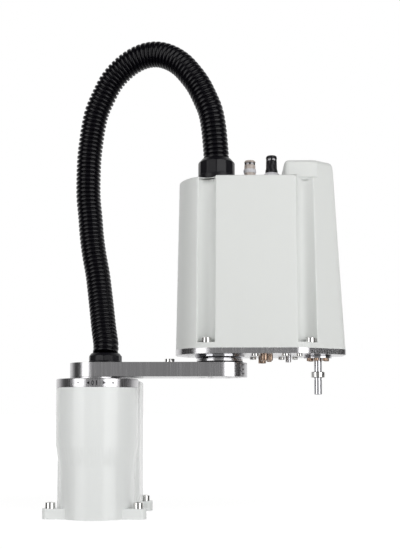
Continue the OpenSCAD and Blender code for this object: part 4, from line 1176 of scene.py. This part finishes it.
def onCylinder(pieces, face, angle, up=0.0):
    # sets flat marks on a curved face, angle to the right of the front
    out = []
    for piece in pieces:
        a = math.radians(angle)
        r = face["r"] * mm
        piece.rotation_euler = (0, 0, a)
        piece.location = (face["middle"][0] * mm + r * math.sin(a), face["middle"][1] * mm - r * math.cos(a),
                          (face["z"] + up) * mm)
        out.append(settled(piece))
    return out


ringFace, armFace = marks["ring"], marks["arm"]
signs = onCylinder([markBox(2.4, 0.7)], ringFace, -19.6)      # minus
signs += onCylinder([markArrow(3.8, 4.0, True)], ringFace, -4.9)      # arrow to the left
signs += onCylinder([markRing(2.7, 4.6)], ringFace, 0.8)      # nought
signs += onCylinder([markBox(0.9, 4.6), markBox(0.7, 1.9, 1.6, 38)], ringFace, 6.2)      # one
signs += onCylinder([markArrow(3.8, 4.0, False)], ringFace, 15.9)      # arrow to the right
signs += onCylinder([markBox(2.4, 0.7), markBox(0.7, 2.4)], ringFace, 28.8)      # plus
ready(joined(signs, "zeroRingMarks"), "zeroRingMarks", "black_nylon", ringFace["body"])
signs = onCylinder([markBox(0.6, 1.8)], armFace, 56, 4.6)      # bar
signs += onCylinder([markBox(1.6, 0.6)], armFace, 60, 4.6)      # minus
signs += onCylinder([markDot(0.95)], armFace, 58, 0)      # dot
signs += onCylinder([markBox(1.6, 0.6), markBox(0.6, 1.6)], armFace, 56, -4.2)      # plus
signs += onCylinder([markRing(1.3, 2.2)], armFace, 60.5, -4.2)      # nought
ready(joined(signs, "armMarks"), "armMarks", "black_nylon", armFace["body"])

# painted shade: a thin black box standing for the shade in a small slot low on the nose, but it lies inside
# the cover's wall and doesn't show
slotShade = markBox(2.6, 0.9)
slotShade.rotation_euler = (0, 0, math.radians(cover["cornerTurn"]))
slotShade.location = Vector((247.6, -14.3, 175.4)) * mm
ready(settled(slotShade), "coverLiftSlotShade", "black_nylon", "arm_2")
print("marks ready")

# Corrugated duct: the free hose between the two glands, along the solid's route

duct = {
    "route": [
        (8, 0, 166), (8, 3, 176), (5, 10, 192), (2, 17, 212), (-1, 23, 232), (-4, 27, 252),
        (-8, 30, 272), (-11, 32, 292), (-13, 33, 314), (-15, 33, 335), (-15, 32, 356),
        (-14, 30, 376), (-12, 28, 392), (-9, 25, 409), (-5, 22, 424), (2, 19, 439),
        (10, 16, 453), (20, 13, 464), (33, 9, 473), (47, 5, 478), (61, 1, 478), (74, -3, 473),
        (86, -7, 464), (96, -10, 452), (104, -12, 440), (111, -14, 425), (116, -15, 412),
        (119, -15, 396), (121, -15, 376), (122, -15, 358.5),
    ],
    "radius": 13.0,
    "groove": 2.0,            # depth between two ribs
    "pitch": 4.5,
    "crest": 0.62,            # share of the pitch that the rib takes
    "bulge": 0.12,            # share of the groove's depth by which the crest is round
    "perRib": 8,              # rings of the mesh to one rib
    "sides": 36,
    "length": 0.506,          # metres along the middle, from the photograph
    # the bend runs over the loop's top from left to right, along a line that climbs a little
    "bendFrom": (0.0034, 0, 0.450),
    "bendTo": (0.1044, 0, 0.4642),
}


def smoothRoute(points, step):
    # a curve through the listed points, sampled evenly, nearly upright at the upper gland
    pts = [Vector(p) * mm for p in points]
    pts = [pts[0] - (pts[1] - pts[0])] + pts + [pts[-1] + Vector((0, 0, -18 * mm))]
    fine = []
    for i in range(1, len(pts) - 2):
        p0, p1, p2, p3 = pts[i - 1:i + 3]
        for k in range(40):
            t = k / 40
            fine.append(0.5 * ((2 * p1) + (p2 - p0) * t + (2 * p0 - 5 * p1 + 4 * p2 - p3) * t * t
                               + (3 * p1 - p0 - 3 * p2 + p3) * t ** 3))
    fine.append(pts[-2])
    gone = lengthsAlong(fine)
    return stretch(fine, gone, 0, gone[-1], round(gone[-1] / step)), gone[-1]


def ribDepth(share):
    # share of the groove's depth at this place of one rib and gap: round crest, narrow gap
    crest, bulge = duct["crest"], duct["bulge"]
    if share < crest:
        return bulge * abs(2 * share / crest - 1) ** 3
    return math.sin(math.pi * (share - crest) / (1 - crest)) ** 0.6 * (1 - bulge) + bulge


def makeDuct():
    perRib = duct["perRib"]
    line, length = smoothRoute(duct["route"], duct["pitch"] * mm / perRib)
    print("duct length", round(length, 4))
    bm = bmesh.new()
    side = Vector((0, 1, 0))
    rings = []
    sides = duct["sides"]
    for i, at in enumerate(line):
        ahead = (line[min(i + 1, len(line) - 1)] - line[max(i - 1, 0)]).normalized()
        side = (side - ahead * side.dot(ahead)).normalized()
        across = ahead.cross(side)
        depth = ribDepth((i / perRib) % 1.0) * duct["groove"]
        radius = (duct["radius"] - depth) * mm
        rings.append([
            bm.verts.new(at + radius * (side * math.cos(a) + across * math.sin(a)))
            for a in [k * math.tau / sides for k in range(sides)]
        ])
    for low, high in zip(rings, rings[1:]):
        skinned(bm, low, high)
    bm.faces.new(list(reversed(rings[0])))
    bm.faces.new(rings[-1])
    bmesh.ops.recalc_face_normals(bm, faces=bm.faces)
    for face in bm.faces:
        face.smooth = len(face.verts) == 4
    obj = meshObject(bm, "cableDuctHose")
    obj.data.materials.append(finishes["duct_black"])
    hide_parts("cable_duct")
    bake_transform(obj)


makeDuct()
print("duct ready")
